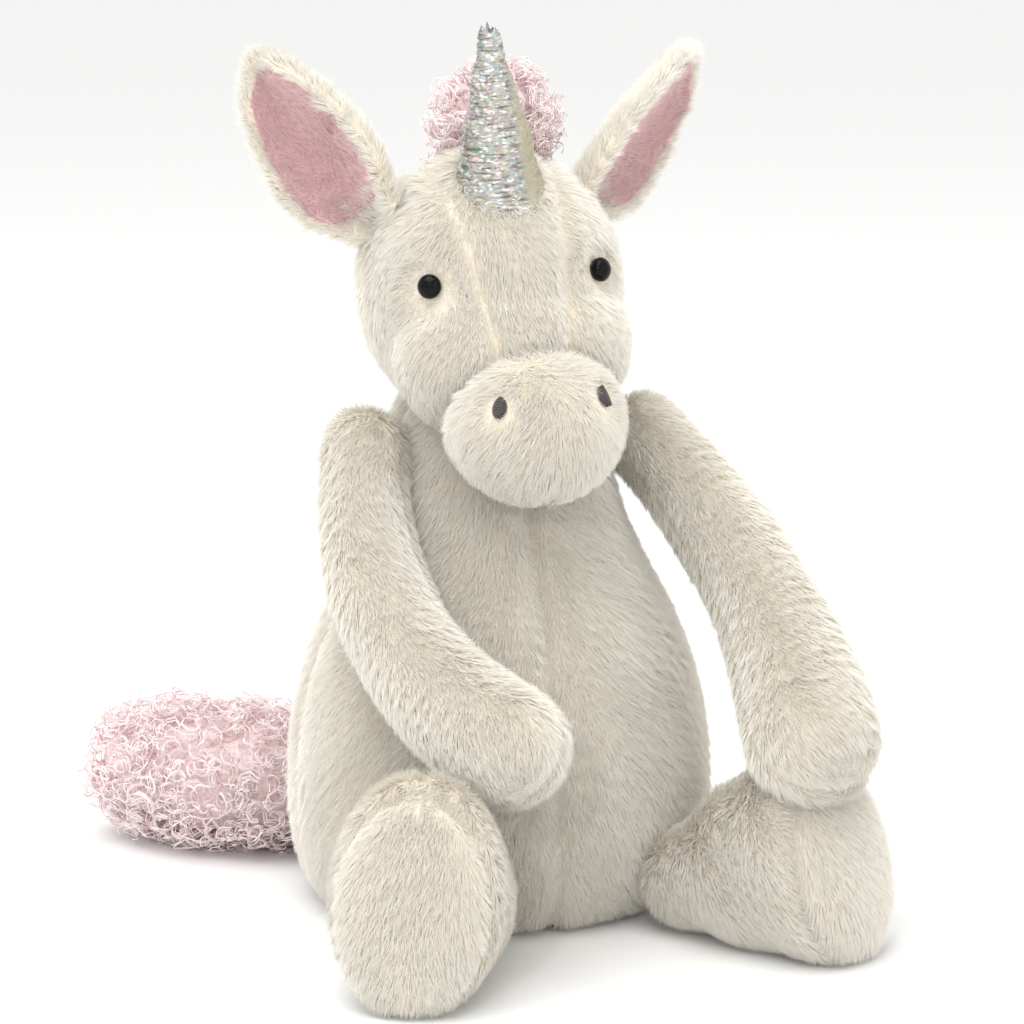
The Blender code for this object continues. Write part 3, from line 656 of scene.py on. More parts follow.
pulled_in(head, [round_the_eyes], 1.7 * MM, 6 * MM)
head_pile = pile(
    "head_pile",
    head,
    cream_pile,
    over_the_face,
    23,
    seams=(muzzle_seam, gusset_seams, chin_seam),
    keep=face_keep,
)
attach(head, "head")
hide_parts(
    "head_left_panel",
    "head_right_panel",
    "head_gusset",
    "muzzle_top_panel",
    "muzzle_left_panel",
    "muzzle_right_panel",
)

# ---- arms and legs ----
# Each is a bent tube of two panels, loosely stuffed at the top and weighted at its end by a pouch of
# pellets, so that it hangs. The foot ends in a sole panel.


def curve_rings(points, radii, up_hint, start_round=1.0, end_round=1.0, steps=20):
    """Rings along a smooth bend through three points; radii are (across, up) at the three points."""
    p0, p1, p2 = (np.array(p, float) for p in points)
    share = np.linalg.norm(p1 - p0) / (np.linalg.norm(p1 - p0) + np.linalg.norm(p2 - p1))

    def place(t):
        a = (t - share) * (t - 1) / (share)
        b = t * (t - 1) / (share * (share - 1))
        c = t * (t - share) / (1 - share)
        return a * p0 + b * p1 + c * p2

    def size(t):
        first, middle, last = (np.array(r, float) for r in radii)
        if t < share:
            k = t / share
            k = k * k * (3 - 2 * k)
            return first + (middle - first) * k
        k = (t - share) / (1 - share)
        k = k * k * (3 - 2 * k)
        return middle + (last - middle) * k

    rings = []

    def ring(t, along, shrink):
        middle = place(t)
        heading = unit(place(min(t + 0.01, 1)) - place(max(t - 0.01, 0)))
        side = unit(np.cross(heading, np.array(up_hint, float)))
        up = np.cross(side, heading)
        width, height = size(t)
        rings.append((middle + heading * along, side, up, width * shrink, height * shrink))

    turns = [math.radians(d) for d in (6, 18, 32, 48, 66)]
    reach = size(0).mean() * start_round
    for turn in turns:
        ring(0, -reach * math.cos(turn), math.sin(turn))
    for i in range(steps + 1):
        ring(i / steps, 0, 1)
    reach = size(1).mean() * end_round
    for turn in reversed(turns):
        ring(1, reach * math.cos(turn), math.sin(turn))
    return rings


UPPER_ARM = 47.3 * MM
for side_name, shoulder, upper, fore, reach, paw_radius in (
    ("left", (38.66, -3, 123.5), (15, -34, -29), (1.5, -45, -37), 106, 14.2),
    ("right", (-37.66, -3, 123.5), (-2, -26, -36), (19, -41, -27), 98.5, 12.8),
):
    shoulder = Vector(shoulder) * MM
    elbow = shoulder + Vector(upper).normalized() * UPPER_ARM
    paw = elbow + Vector(fore).normalized() * (reach * MM - UPPER_ARM)
    seam_normal = (elbow - shoulder).cross(paw - elbow).normalized()
    radii = [(8.6 * MM,) * 2, (10.4 * MM,) * 2, (paw_radius * MM,) * 2]
    rings = curve_rings((shoulder, elbow, paw), radii, seam_normal)
    arm = even(loft(side_name + "_arm", rings, cream_backing, 32), 2.2 * MM, 3)
    along = np.array((paw - shoulder).normalized())

    def arm_seam(points, normal=np.array(seam_normal), base=np.array(shoulder)):
        return (points - base) @ normal

    def down_the_arm(points, along=along, base=np.array(shoulder), side=(1 if side_name == "left" else -1)):
        way = np.tile(along, (len(points), 1))
        near = np.exp(-((np.linalg.norm(points - base, axis=1) / (14 * MM)) ** 2))
        return way + near[:, None] * np.array([side * 0.9, -0.2, 0.2])

    stuffed(arm, [arm_seam], 1.0 * MM)
    thickened(arm, UNDERCOAT)
    pulled_in(arm, [arm_seam], 0.5 * MM, 2 * MM)
    seed = 31 if side_name == "left" else 37
    arm_pile = pile(
        side_name + "_arm_pile", arm, cream_pile, down_the_arm, seed, seams=(arm_seam,), swirl=0.22
    )
    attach(arm, side_name + "_arm")
    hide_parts(side_name + "_arm_outer_panel", side_name + "_arm_inner_panel")

LEG_RISE = math.radians(13)
LEG_REACH = 39 * MM
for side_name, splay, hip, foot_rise, foot_width in (
    ("left", math.radians(38), (37.73, -48.29, 14.12), 4.0, 20.6),
    ("right", math.radians(-30), (-30.27, -52.43, 14.12), 4.5, 18.6),
):
    hip = Vector(hip) * MM
    heading = Vector((math.sin(splay), -math.cos(splay), 0))
    direction = heading * math.cos(LEG_RISE) + Vector((0, 0, 1)) * math.sin(LEG_RISE)
    across = Vector((0, 0, 1)).cross(direction).normalized()
    lift = Vector((0, 0, 1)) * foot_rise * MM
    points = (hip, hip + direction * LEG_REACH / 2 + lift * 0.45, hip + direction * LEG_REACH + lift)
    radii = [
        (11.5 * MM, 11.5 * MM),
        (17.0 * MM, (18.5 + foot_rise * 0.45) * MM),
        (foot_width * MM, (23.4 + foot_rise) * MM),
    ]
    rings = curve_rings(points, radii, (0, 0, 1), end_round=0.36)
    leg = even(loft(side_name + "_leg", rings, cream_backing, 40), 2.4 * MM, 3)
    sole_place = np.array(hip + direction * (LEG_REACH + 3 * MM))

    def sole_seam(points, place=sole_place, normal=np.array(direction)):
        return (points - place) @ normal

    def leg_seam(points, base=np.array(hip), normal=np.array(across), end=sole_seam):
        return np.where(end(points) < 0, (points - base) @ normal, 1.0)

    def down_the_leg(points, along=np.array(direction), end=sole_seam, base=sole_place):
        on_sole = end(points) > 1 * MM
        way = np.tile(along * 0.8, (len(points), 1)) + np.array([0, 0, -0.5])
        way[on_sole] = np.array([0, 0, -1.0])
        return way

    stuffed(leg, [leg_seam, sole_seam], 1.0 * MM)
    thickened(leg, UNDERCOAT)
    pulled_in(leg, [leg_seam, sole_seam], 1.0 * MM, 2 * MM)
    seed = 41 if side_name == "left" else 47
    leg_pile = pile(
        side_name + "_leg_pile", leg, cream_pile, down_the_leg, seed, seams=(leg_seam, sole_seam), swirl=0.2
    )
    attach(leg, side_name + "_leg")
    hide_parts(side_name + "_leg_outer_panel", side_name + "_leg_inner_panel", side_name + "_sole")

# ---- eyes: black safety eyes ----
# Each is a moulded dome of black acrylic with a shank through the cloth, held by a washer inside.


def polished_acrylic(name):
    """Moulded black acrylic, polished in the tool: faint flow marks under a hard bright gloss."""
    material = material_named(name)
    place = node(material, "ShaderNodeTexCoord")
    flow = node(
        material,
        "ShaderNodeTexNoise",
        {"Scale": 1 / (2.5 * MM)},
        {"Vector": place.outputs["Object"]},
    )
    colour = node(
        material,
        "ShaderNodeValToRGB",
        links={"Fac": flow.outputs[0]},
        stops=[(0.3, "#060505"), (0.7, "#120e0d")],
    )
    return finish_material(
        material,
        {"Roughness": 0.04, "IOR": 1.49, "Specular IOR Level": 0.16},
        {"Base Color": colour.outputs[0]},
    )


black_acrylic = polished_acrylic("Black acrylic, moulded and polished")
EYE_PROFILE = [  # height over the cloth, radius, mm
    (-1.2, 2.6),
    (0.0, 3.1),
    (0.5, 3.2),
    (1.2, 3.1),
    (2.0, 2.7),
    (2.6, 2.0),
    (3.0, 1.2),
    (3.1, 0.4),
]
for side, spot, outward in EYES:
    side_name = "left" if side > 0 else "right"
    across = outward.cross(Vector((0, 0, 1))).normalized()
    up = across.cross(outward)
    seat = spot + outward * 1.3 * MM
    rings = [(seat + outward * h * MM, across, up, w * MM, w * MM) for h, w in EYE_PROFILE]
    eye = loft(side_name + "_safety_eye", rings, black_acrylic, 40)
    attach(eye, "head")
    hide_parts(side_name + "_eye")

# ---- nostrils: satin stitches of dark thread ----
# Close parallel stitches of twisted thread, each pulled down at its ends into the pile.


def twisted_thread(name, light, dark):
    """Mercerised thread: plies that catch the light in fine slanting stripes."""
    material = material_named(name)
    place = node(material, "ShaderNodeTexCoord")
    plies = node(
        material,
        "ShaderNodeTexWave",
        {"bands_direction": "DIAGONAL", "Scale": 1 / (1.6 * MM), "Distortion": 0.6},
        {"Vector": place.outputs["Object"]},
    )
    colour = node(
        material,
        "ShaderNodeValToRGB",
        links={"Fac": plies.outputs["Color"]},
        stops=[(0.2, dark), (0.8, light)],
    )
    bump = node(
        material,
        "ShaderNodeBump",
        {"Strength": 0.5, "Distance": 0.1 * MM},
        {"Height": plies.outputs[1]},
    )
    return finish_material(
        material,
        {"Roughness": 0.55, "Sheen Weight": 0.2},
        {"Base Color": colour.outputs[0]},
        bump.outputs[0],
    )


dark_thread = twisted_thread("Dark brown thread, mercerised", "#4f4445", "#2e2728")
for side, spot, outward in NOSTRILS:
    side_name = "left" if side > 0 else "right"
    level = Vector((0, 0, 1)).cross(outward).normalized()
    upright = outward.cross(level)
    stitches = []
    for i in range(11):
        rise = (i / 10 - 0.5) * 5.0 * MM
        half = 1.95 * MM * math.sqrt(max(1 - (rise / (2.75 * MM)) ** 2, 0.05))
        rings = []
        for j in range(9):
            t = j / 4 - 1
            lift = (3.0 - 1.1 * t * t) * MM
            middle = spot + upright * rise + level * half * t + outward * lift
            thread = 0.33 * MM * (1 if abs(t) < 0.9 else 0.6)
            rings.append((middle, upright, outward, thread, thread))
        stitches.append(loft("stitch", rings, dark_thread, 8))
    nostril = joined(stitches, side_name + "_nostril")
    nostril.data.shade_smooth()
    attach(nostril, "head")
    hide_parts(side_name + "_nostril_stitching")

# ---- horn: a cone of crinkled lame ----
# Iridescent foil yarn on a stretch knit, rolled, seamed at the back and lightly filled, with its raw
# end turned in at the tip; the knit puckers round it in fine level creases.


def foil_knit(name):
    """Iridescent foil on a knit: silver with small flashes of pink, blue and green that are partly the
    foil's tints and partly painted glints, painted shade in its creases, and gold-tinted grey down the seam
    side, partly the foil's tint there and partly painted shade.
    """
    material = material_named(name)
    place = node(material, "ShaderNodeTexCoord")
    # flashes about 1 mm wide and half as high: the foil's own tints, partly painted glints of reflected
    # light
    squeezed = node(
        material,
        "ShaderNodeMapping",
        {"Scale": (1.0, 1.0, 2.2)},
        {"Vector": place.outputs["Object"]},
    )
    flashes = node(
        material, "ShaderNodeTexVoronoi", {"Scale": 1 / (0.95 * MM)}, {"Vector": squeezed.outputs[0]}
    )
    pick = node(material, "ShaderNodeSeparateColor", links={0: flashes.outputs["Color"]})
    tint_and_glint = node(
        material,
        "ShaderNodeValToRGB",
        links={"Fac": pick.outputs[0]},
        stops=[
            (0.0, "#cf9fab"),
            (0.12, "#bab5b2"),
            (0.34, "#a5a2a1"),
            (0.5, "#f6f4f1"),
            (0.6, "#c9c6c3"),
            (0.72, "#a3c6ca"),
            (0.8, "#b3afac"),
            (0.92, "#cccda3"),
            (1.0, "#96918d"),
        ],
    )
    # painted shade in the level creases of the pucker, darker where they turn under
    level = node(
        material,
        "ShaderNodeMapping",
        {"Scale": (0.3, 0.3, 2.0)},
        {"Vector": place.outputs["Object"]},
    )
    creases = node(
        material,
        "ShaderNodeTexNoise",
        {"Scale": 1 / (1.5 * MM), "Detail": 3.0},
        {"Vector": level.outputs[0]},
    )
    shaded = node(
        material,
        "ShaderNodeValToRGB",
        links={"Fac": creases.outputs[0]},
        stops=[(0.36, "#a39d98"), (0.5, "#ffffff")],
    )
    slow = node(
        material,
        "ShaderNodeTexNoise",
        {"Scale": 1 / (9 * MM)},
        {"Vector": place.outputs["Object"]},
    )
    drift = node(
        material,
        "ShaderNodeValToRGB",
        links={"Fac": slow.outputs[0]},
        stops=[(0.35, "#efdfe3"), (0.5, "#ffffff"), (0.65, "#e2eeee")],
    )
    tinted = node(
        material,
        "ShaderNodeMix",
        {"data_type": "RGBA", "blend_type": "MULTIPLY", 0: 0.8},
        {6: tint_and_glint.outputs[0], 7: drift.outputs[0]},
    )
    with_crease_shade = node(
        material,
        "ShaderNodeMix",
        {"data_type": "RGBA", "blend_type": "MULTIPLY", 0: 0.85},
        {6: tinted.outputs[2], 7: shaded.outputs[0]},
    )
    # partly the foil's tint by the seam and partly painted shade: the side away from the top lamp turns
    # gold-tinted grey
    axes = node(material, "ShaderNodeSeparateXYZ", links={0: place.outputs["Object"]})
    seam_side_tint_and_shade = node(
        material,
        "ShaderNodeMapRange",
        {"From Min": 2.5 * MM, "From Max": 5.0 * MM},
        {"Value": axes.outputs["X"]},
    )
    colour = node(
        material,
        "ShaderNodeMix",
        {"data_type": "RGBA", 7: linear("#bdb79f")},
        {0: seam_side_tint_and_shade.outputs[0], 6: with_crease_shade.outputs[2]},
    )
    return finish_material(
        material,
        {"Roughness": 0.34, "Metallic": 0.75, "Sheen Weight": 0.1},
        {"Base Color": colour.outputs[2]},
    )


foil = foil_knit("Iridescent lame, foil on a knit")
HORN_SEAT = HEAD_MIDDLE + Vector((0, -14, 21.5)) * MM
HORN_SIDE_LEAN = math.radians(2.5)
HORN_FRONT_LEAN = math.radians(5)
HORN_AXIS = Vector(
    (-math.sin(HORN_SIDE_LEAN), -math.sin(HORN_FRONT_LEAN), math.cos(HORN_FRONT_LEAN))
).normalized()
HORN_LENGTH = 46.0
horn_rings, horn_segments = 150, 120
angles = np.linspace(0, 2 * np.pi, horn_segments, endpoint=False)
corners = []
for i in range(horn_rings):
    share = i / (horn_rings - 1)
    high = -5 + share * (HORN_LENGTH + 5)
    radius = 12.2 - (12.2 - 2.1) * max(high, -5) / HORN_LENGTH + 0.5 * math.sin(math.pi * share)
    ring = np.stack([np.cos(angles) * radius, np.sin(angles) * radius, np.full_like(angles, high)], 1)
    corners.append(ring)
corners = np.concatenate(corners)
round_the_horn = unit(corners * np.array([1, 1, 0]))
fine, _ = ripples(corners * np.array([0.30, 0.30, 1.0]), 1.5, 71, 16)
finer, _ = ripples(corners * np.array([0.55, 0.55, 1.0]), 0.8, 73, 16)
wander, _ = ripples(corners, 14, 75)
pucker = 0.20 * (1 - np.abs(fine)) + 0.10 * finer + 0.25 * wander
corners = corners + round_the_horn * pucker[:, None]
last = (horn_rings - 1) * horn_segments
fray, _ = ripples(corners[last:], 1.6, 77)
corners[last:, 2] += 0.9 * fray
faces = []
for ring in range(horn_rings - 1):
    for i in range(horn_segments):
        j = (i + 1) % horn_segments
        a, b = ring * horn_segments, (ring + 1) * horn_segments
        faces.append((a + i, a + j, b + j, b + i))
tucked = corners[last:] * np.array([0.45, 0.45, 1.0]) - np.array([0, 0, 1.6])
tucked[:, 2] = HORN_LENGTH - 1.6
corners = np.concatenate([corners, tucked])
for i in range(horn_segments):
    j = (i + 1) % horn_segments
    faces.append((last + i, last + j, last + horn_segments + j, last + horn_segments + i))
faces.append(tuple(range(last + horn_segments, last + 2 * horn_segments)))
faces.append(tuple(reversed(range(horn_segments))))
horn = mesh_piece("horn", corners * MM, faces, foil)
horn_turn = Vector((0, 0, 1)).rotation_difference(HORN_AXIS).to_matrix().to_4x4()
horn.matrix_world = HEAD_PLACE @ Matrix.Translation(HORN_SEAT) @ horn_turn
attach(horn, "horn")
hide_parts("horn_shell")

# ---- ears: plush outside, pink velour inside ----
# Each is a leaf of plush sewn to a smaller leaf of velour, turned out and pinched at its root so that
# it cups; the plush rolls over the edge as a rim.
# the velour's much darker root colour is painted shade deep in its pile
pink_velour = brushed_pile("Pink velour, short cut pile", "#f4dfe0", "#e6c6c8", "#cba2a3", 0.7, 0.5)
# the ground's dark colour is painted shade between its loops
pink_ground = knitted_backing("Velour ground, warp knitted", "#dcb6b8", "#bf9394", 0.5 * MM)
EAR_LENGTH = 50.0
EAR_WIDTHS = [(-0.2, 5.0), (0.0, 11.0), (0.18, 16.6), (0.36, 18.0), (0.62, 15.0), (0.85, 9.2), (1.0, 2.8)]


def ear_leaf(name, root, along, across, facing, material, low, high, narrow, front, back):
    """A cupped leaf, rounded at its edges.

    low and high are its ends along the ear, narrow is its share of the ear's width, and front and back
    are how far its faces stand off the ear's middle surface, in mm.
    """
    rows, columns = 30, 16
    sheets = []
    for lift in (front, back):
        for i in range(rows + 1):
            s = low + (high - low) * i / rows
            half = np.interp(s, *zip(*EAR_WIDTHS)) * narrow
            ends = min(1.0, (i / rows) / 0.06, (1 - i / rows) / 0.10)
            half *= 0.35 + 0.65 * math.sin(ends * math.pi / 2)
            for k in range(columns + 1):
                t = 2 * k / columns - 1
                cup = 5.4 * t * t * half / 16 + 2.0 * (1 - min(max(s, 0) / 0.35, 1)) * t * t
                thick = lift * math.sqrt(max(1 - 0.85 * t**4, 0))
                spot = root + (along * EAR_LENGTH * s + across * half * t + facing * (cup + thick)) * MM
                sheets.append(spot)
    faces = []
    size = (rows + 1) * (columns + 1)

    def corner(sheet, i, k):
        return sheet * size + i * (columns + 1) + k

    for i in range(rows):
        for k in range(columns):
            around = [(i, k), (i, k + 1), (i + 1, k + 1), (i + 1, k)]
            faces.append(tuple(corner(0, *spot) for spot in around))
            faces.append(tuple(corner(1, *around[turn]) for turn in (0, 3, 2, 1)))
    edge = [(i, 0) for i in range(rows + 1)] + [(rows, k) for k in range(1, columns + 1)]
    edge += [(i, columns) for i in range(rows - 1, -1, -1)] + [(0, k) for k in range(columns - 1, 0, -1)]
    for (i, k), (m, n) in zip(edge, edge[1:] + edge[:1]):
        faces.append((corner(0, i, k), corner(0, m, n), corner(1, m, n), corner(1, i, k)))
    made = mesh_piece(name, sheets, faces, material)
    edit = bmesh.new()
    edit.from_mesh(made.data)
    bmesh.ops.recalc_face_normals(edit, faces=edit.faces)
    edit.to_mesh(made.data)
    edit.free()
    return made


for side_name, side, lean in (("left", 1, 0.80), ("right", -1, 0.47)):
    aim = Vector((side * 25, 1.7, 19.9))
    share = Vector(a / r for a, r in zip(aim, HEAD_RADII))
    spot = HEAD_MIDDLE + aim / share.length
    outward = Vector(a / r / r for a, r in zip(aim, HEAD_RADII)).normalized()
    root = HEAD_PLACE @ (spot + outward * 4 * MM)
    along = Vector((side * lean, 0.25, 0.70)).normalized()
    facing = Vector((side * 0.714, -0.619, -0.324))
    facing = HEAD_TILT @ (facing - along * facing.dot(along)).normalized()
    along = HEAD_TILT @ along
    across = along.cross(facing).normalized()
    ear = ear_leaf(
        side_name + "_ear", root, along, across, facing, cream_backing, -0.14, 1.0, 1.0, 0.3, -2.6
    )
    even(ear, 1.1 * MM, 3)
    thickened(ear, 0.9 * MM)
    basis = [np.array(v) for v in (root, along, across, facing)]

    def in_ear(points, basis=basis):
        off = points - basis[0]
        s = off @ basis[1] / (EAR_LENGTH * MM)
        half = np.interp(s, *zip(*EAR_WIDTHS)) * MM
        t = off @ basis[2] / half
        cup = 5.4 * t * t * half / 16
        return s, t, off @ basis[3] - cup

    def ear_keep(points, place=in_ear):
        s, t, front = place(points)
        inside = (front > -0.4 * MM) & (np.abs(t) < 0.80) & (s < 0.88) & (s > 0.07)
        return np.where(inside, 0.0, np.where(front > -0.4 * MM, 0.8, 0.9))

    def up_the_ear(points, basis=basis, place=in_ear):
        _, t, front = place(points)
        tufts, _ = ripples(points, 6 * MM, 91)
        # the rim's tufts lie partly over the velour and partly outwards
        outwards = np.where(front > -0.4 * MM, 0.25 + 0.9 * tufts, 0.55)
        return basis[1] * 1.0 + basis[2] * (np.clip(t, -1, 1) * outwards)[:, None]

    seed = 51 if side > 0 else 57
    ear_pile = pile(side_name + "_ear_pile", ear, cream_pile, up_the_ear, seed, keep=ear_keep)
    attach(ear, side_name + "_ear")
    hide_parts(side_name + "_ear_outer")
    lining = ear_leaf(
        side_name + "_ear_velour", root, along, across, facing, pink_ground, 0.04, 0.91, 0.85, 1.8, 0.7
    )
    even(lining, 0.7 * MM, 2)
    velour = pile(
        side_name + "_ear_velour_pile",
        lining,
        pink_velour,
        up_the_ear,
        seed + 4,
        length=2.6 * MM,
        height=1.1 * MM,
        density=8,
        width=0.2 * MM,
        locks=3.0 * MM,
        swirl=0.8,
    )
    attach(lining, side_name + "_ear")
    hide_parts(side_name + "_ear_lining")

# ---- forelock, mane and tail: curly yarn ----
# Loops of brushed rayon boucle sewn down in rows: each loop is a few glossy filaments curled together,
# over a matted core.


def rayon_filament(name, light, middle, core_shade):
    """Rayon filaments, dyed and brushed: pale where they lie outside, deeper pink towards the core as
    painted shade where the loops crowd.
    """
    material = material_named(name)
    place = node(material, "ShaderNodeUVMap", {"uv_map": "OFBake"})
    split = node(material, "ShaderNodeSeparateXYZ", links={0: place.outputs[0]})
    # painted shade: each filament runs from a deeper pink at the core to pale at its outer end
    along = node(
        material,
        "ShaderNodeValToRGB",
        links={"Fac": split.outputs["Y"]},
        stops=[(0.0, core_shade), (0.4, middle), (1.0, light)],
    )
    lot = node(
        material,
        "ShaderNodeTexNoise",
        {"noise_dimensions": "1D", "Scale": 40.0},
        {"W": split.outputs["X"]},
    )
    tone = node(
        material,
        "ShaderNodeValToRGB",
        links={"Fac": lot.outputs[0]},
        stops=[(0.3, "#f8eeee"), (0.7, "#ffffff")],
    )
    colour = node(
        material,
        "ShaderNodeMix",
        {"data_type": "RGBA", "blend_type": "MULTIPLY", 0: 0.8},
        {6: along.outputs[0], 7: tone.outputs[0]},
    )
    return finish_material(
        material,
        {"Roughness": 0.3, "Sheen Weight": 0.4, "IOR": 1.52, "Specular IOR Level": 0.6},
        {"Base Color": colour.outputs[2]},
    )


# the deepest colour is painted shade towards the core
pink_rayon = rayon_filament("Pink rayon boucle, brushed", "#fff9f9", "#f8eaeb", "#ecd0d2")
# the core's dark colour is painted shade between its loops
pink_core = knitted_backing("Matted yarn core", "#f1e0e1", "#e3cccd", 1.4 * MM)


def curls(name, skin, seed, density, rise, curl, keep=None, filaments=2, thread=0.16 * MM, turns=1.3):
    """Curled loops of yarn standing on a skin; density is loops to a square millimetre."""
    corners, normals, triangles = mesh_arrays(skin)
    random = np.random.default_rng(seed)
    a, b, c = (corners[triangles[:, i]] for i in range(3))
    areas = np.linalg.norm(np.cross(b - a, c - a), axis=1) / 2
    count = int(areas.sum() * 1e6 * density)
    picked = random.choice(len(areas), count, p=areas / areas.sum())
    s, t = random.random(count), random.random(count)
    over = s + t > 1
    s[over], t[over] = 1 - s[over], 1 - t[over]
    shares = np.stack([1 - s - t, s, t], 1)
    root = np.einsum("ij,ijk->ik", shares, corners[triangles[picked]])
    normal = unit(np.einsum("ij,ijk->ik", shares, normals[triangles[picked]]))
    if keep is not None:
        kept = keep(root)
        root, normal = root[kept], normal[kept]
    count = len(root)
    steps = 10
    side = unit(np.cross(normal, random.normal(size=(count, 3))))
    other = np.cross(normal, side)
    tilt = random.uniform(-0.8, 0.8, (count, 1))
    lie = unit(other + normal * tilt)
    size = curl * random.uniform(0.55, 1.3, (count, 1))
    up = rise * random.uniform(0.6, 1.15, (count, 1))
    spin = random.uniform(0.6, 1.3, (count, 1)) * turns
    start = random.uniform(0, 2 * np.pi, (count, 1))
    _, drift = ripples(root, 9 * MM, seed + 1)
    paths = []
    for k in range(steps):
        u = k / (steps - 1)
        phase = start + 2 * np.pi * spin * u
        grow = size * (0.35 + 0.65 * math.sin(math.pi * min(u * 1.2, 1)))
        climb = up * math.sin(math.pi * 0.5 * u ** 0.8)
        swing = side * (np.cos(phase) - np.cos(start)) + lie * (np.sin(phase) - np.sin(start))
        paths.append(root + normal * climb + swing * grow + drift * (1.6 * MM * u))
    paths = np.stack(paths, 1)
    paths = np.repeat(paths, filaments, axis=0)
    strands = count * filaments
    apart = random.normal(size=(strands, 1, 3)) * 0.28 * MM
    paths = paths + apart * np.linspace(0.4, 1.6, steps)[None, :, None]
    paths[:, :, 2] = np.maximum(paths[:, :, 2], thread)
    heading = unit(np.gradient(paths, axis=1))
    first = unit(np.cross(heading, np.array([0.31, 0.17, 0.93])))
    second = np.cross(heading, first)
    taper = np.ones(steps)
    taper[0], taper[-2], taper[-1] = 0.8, 0.8, 0.35
    radius = thread * (0.75 + 0.5 * random.random((strands, 1, 1))) * taper[None, :, None]
    around = []
    for turn in (0, 2 * math.pi / 3, 4 * math.pi / 3):
        around.append(paths + (first * math.cos(turn) + second * math.sin(turn)) * radius)
    corner = np.stack(around, 2)
    quads = []
    for k in range(steps - 1):
        for i in range(3):
            j = (i + 1) % 3
            quads.append((k * 3 + i, k * 3 + j, k * 3 + 3 + j, k * 3 + 3 + i))
    quads = np.array(quads)
    lot = np.floor(random.random(strands) * 64)
    low, high = (lot + 0.2) / 64, (lot + 0.8) / 64
    across_uv = np.tile(np.stack([low, high, high, low], 1), (1, len(quads)))
    up_uv = np.array([[k / steps, k / steps, (k + 1) / steps, (k + 1) / steps] for k in range(steps - 1)])
    up_uv = np.tile(np.repeat(up_uv, 3, axis=0).reshape(1, -1), (strands, 1))
    mesh = bpy.data.meshes.new(name)
    mesh.vertices.add(strands * steps * 3)
    mesh.vertices.foreach_set("co", corner.reshape(-1).astype(np.float32))
    mesh.loops.add(strands * quads.size)
    order = np.arange(strands)[:, None] * (steps * 3) + quads.reshape(1, -1)
    mesh.loops.foreach_set("vertex_index", order.reshape(-1).astype(np.int32))
    mesh.polygons.add(strands * len(quads))
    mesh.polygons.foreach_set("loop_start", np.arange(0, strands * quads.size, 4, dtype=np.int32))
    mesh.update(calc_edges=True)
    layer = mesh.uv_layers.new(name="OFBake")
    layer.data.foreach_set("uv", np.stack([across_uv, up_uv], 2).reshape(-1).astype(np.float32))
    mesh.shade_flat()
    mesh.materials.append(pink_rayon)
    made = bpy.data.objects.new(name, mesh)
    scene.collection.objects.link(made)
    made.parent = skin
    return made


FORELOCK_MIDDLE = HEAD_MIDDLE + Vector((8.5, 12.5, 41.0)) * MM
FORELOCK_RADII = Vector((12.5, 8.5, 11.5)) * MM
forelock = egg("forelock_core", FORELOCK_MIDDLE, FORELOCK_RADII, Matrix.Identity(4), pink_core)
forelock.data.transform(HEAD_PLACE)
even(forelock, 1.4 * MM, 2)
curls("forelock_curls", forelock, 81, 0.42, 6.5 * MM, 2.1 * MM)
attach(forelock, "head")
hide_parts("forelock")

mane_corners, _, mane_faces = mesh_arrays(head)
mane = mesh_piece("mane_core", mane_corners, [tuple(int(v) for v in f) for f in mane_faces], pink_core)
edit = bmesh.new()
edit.from_mesh(mane.data)
outside = []
for vertex in edit.verts:
    seen = in_head(np.array(vertex.co)[None, :])[0] / MM
    if abs(seen[0]) > 6.5 or seen[1] < 2 or seen[2] < -20 or seen[1] * 0.766 - seen[2] * 0.643 < -8:
        outside.append(vertex)
bmesh.ops.delete(edit, geom=outside, context="VERTS")
edit.to_mesh(mane.data)
edit.free()
thicken = mane.modifiers.new("thick", "SOLIDIFY")
thicken.thickness = 3.0 * MM
thicken.offset = 0.6
settled(mane)
curls("mane_curls", mane, 83, 0.30, 4.0 * MM, 1.7 * MM)
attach(mane, "head")
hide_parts("mane_strip")

stub_end = Vector((-2.5, 68.33, 20)) * MM
TAIL_REACH = 82 * MM
to_middle = Vector((-36, -4, 0)).normalized() * TAIL_REACH * 0.44
to_end = to_middle + Vector((-27, 29, 0)).normalized() * TAIL_REACH * 0.42
tail_start = stub_end + Vector((-14.3, -2.5, 0)) * MM
rings = curve_rings(
    (tail_start, tail_start + to_middle, tail_start + to_end),
    [(15.0 * MM, 14.5 * MM), (17.5 * MM, 15.0 * MM), (16.0 * MM, 15.5 * MM)],
    (0, 0, 1),
    start_round=0.5,
    end_round=0.7,
)
tail = even(loft("tail_core", rings, pink_core, 32), 2.5 * MM, 2)
tail.data.transform(Matrix.Translation((0, 0, 0.5 * MM)))
curls("tail_curls", tail, 85, 0.20, 6.5 * MM, 2.7 * MM)
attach(tail, "tail")
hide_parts("tail_yarn")

# ---- inside: fillings, pouches and fixings ----
# Hollow polyester fibre, plain woven pouches of plastic pellets, and moulded nylon washers; none of
# it shows when the toy is whole.


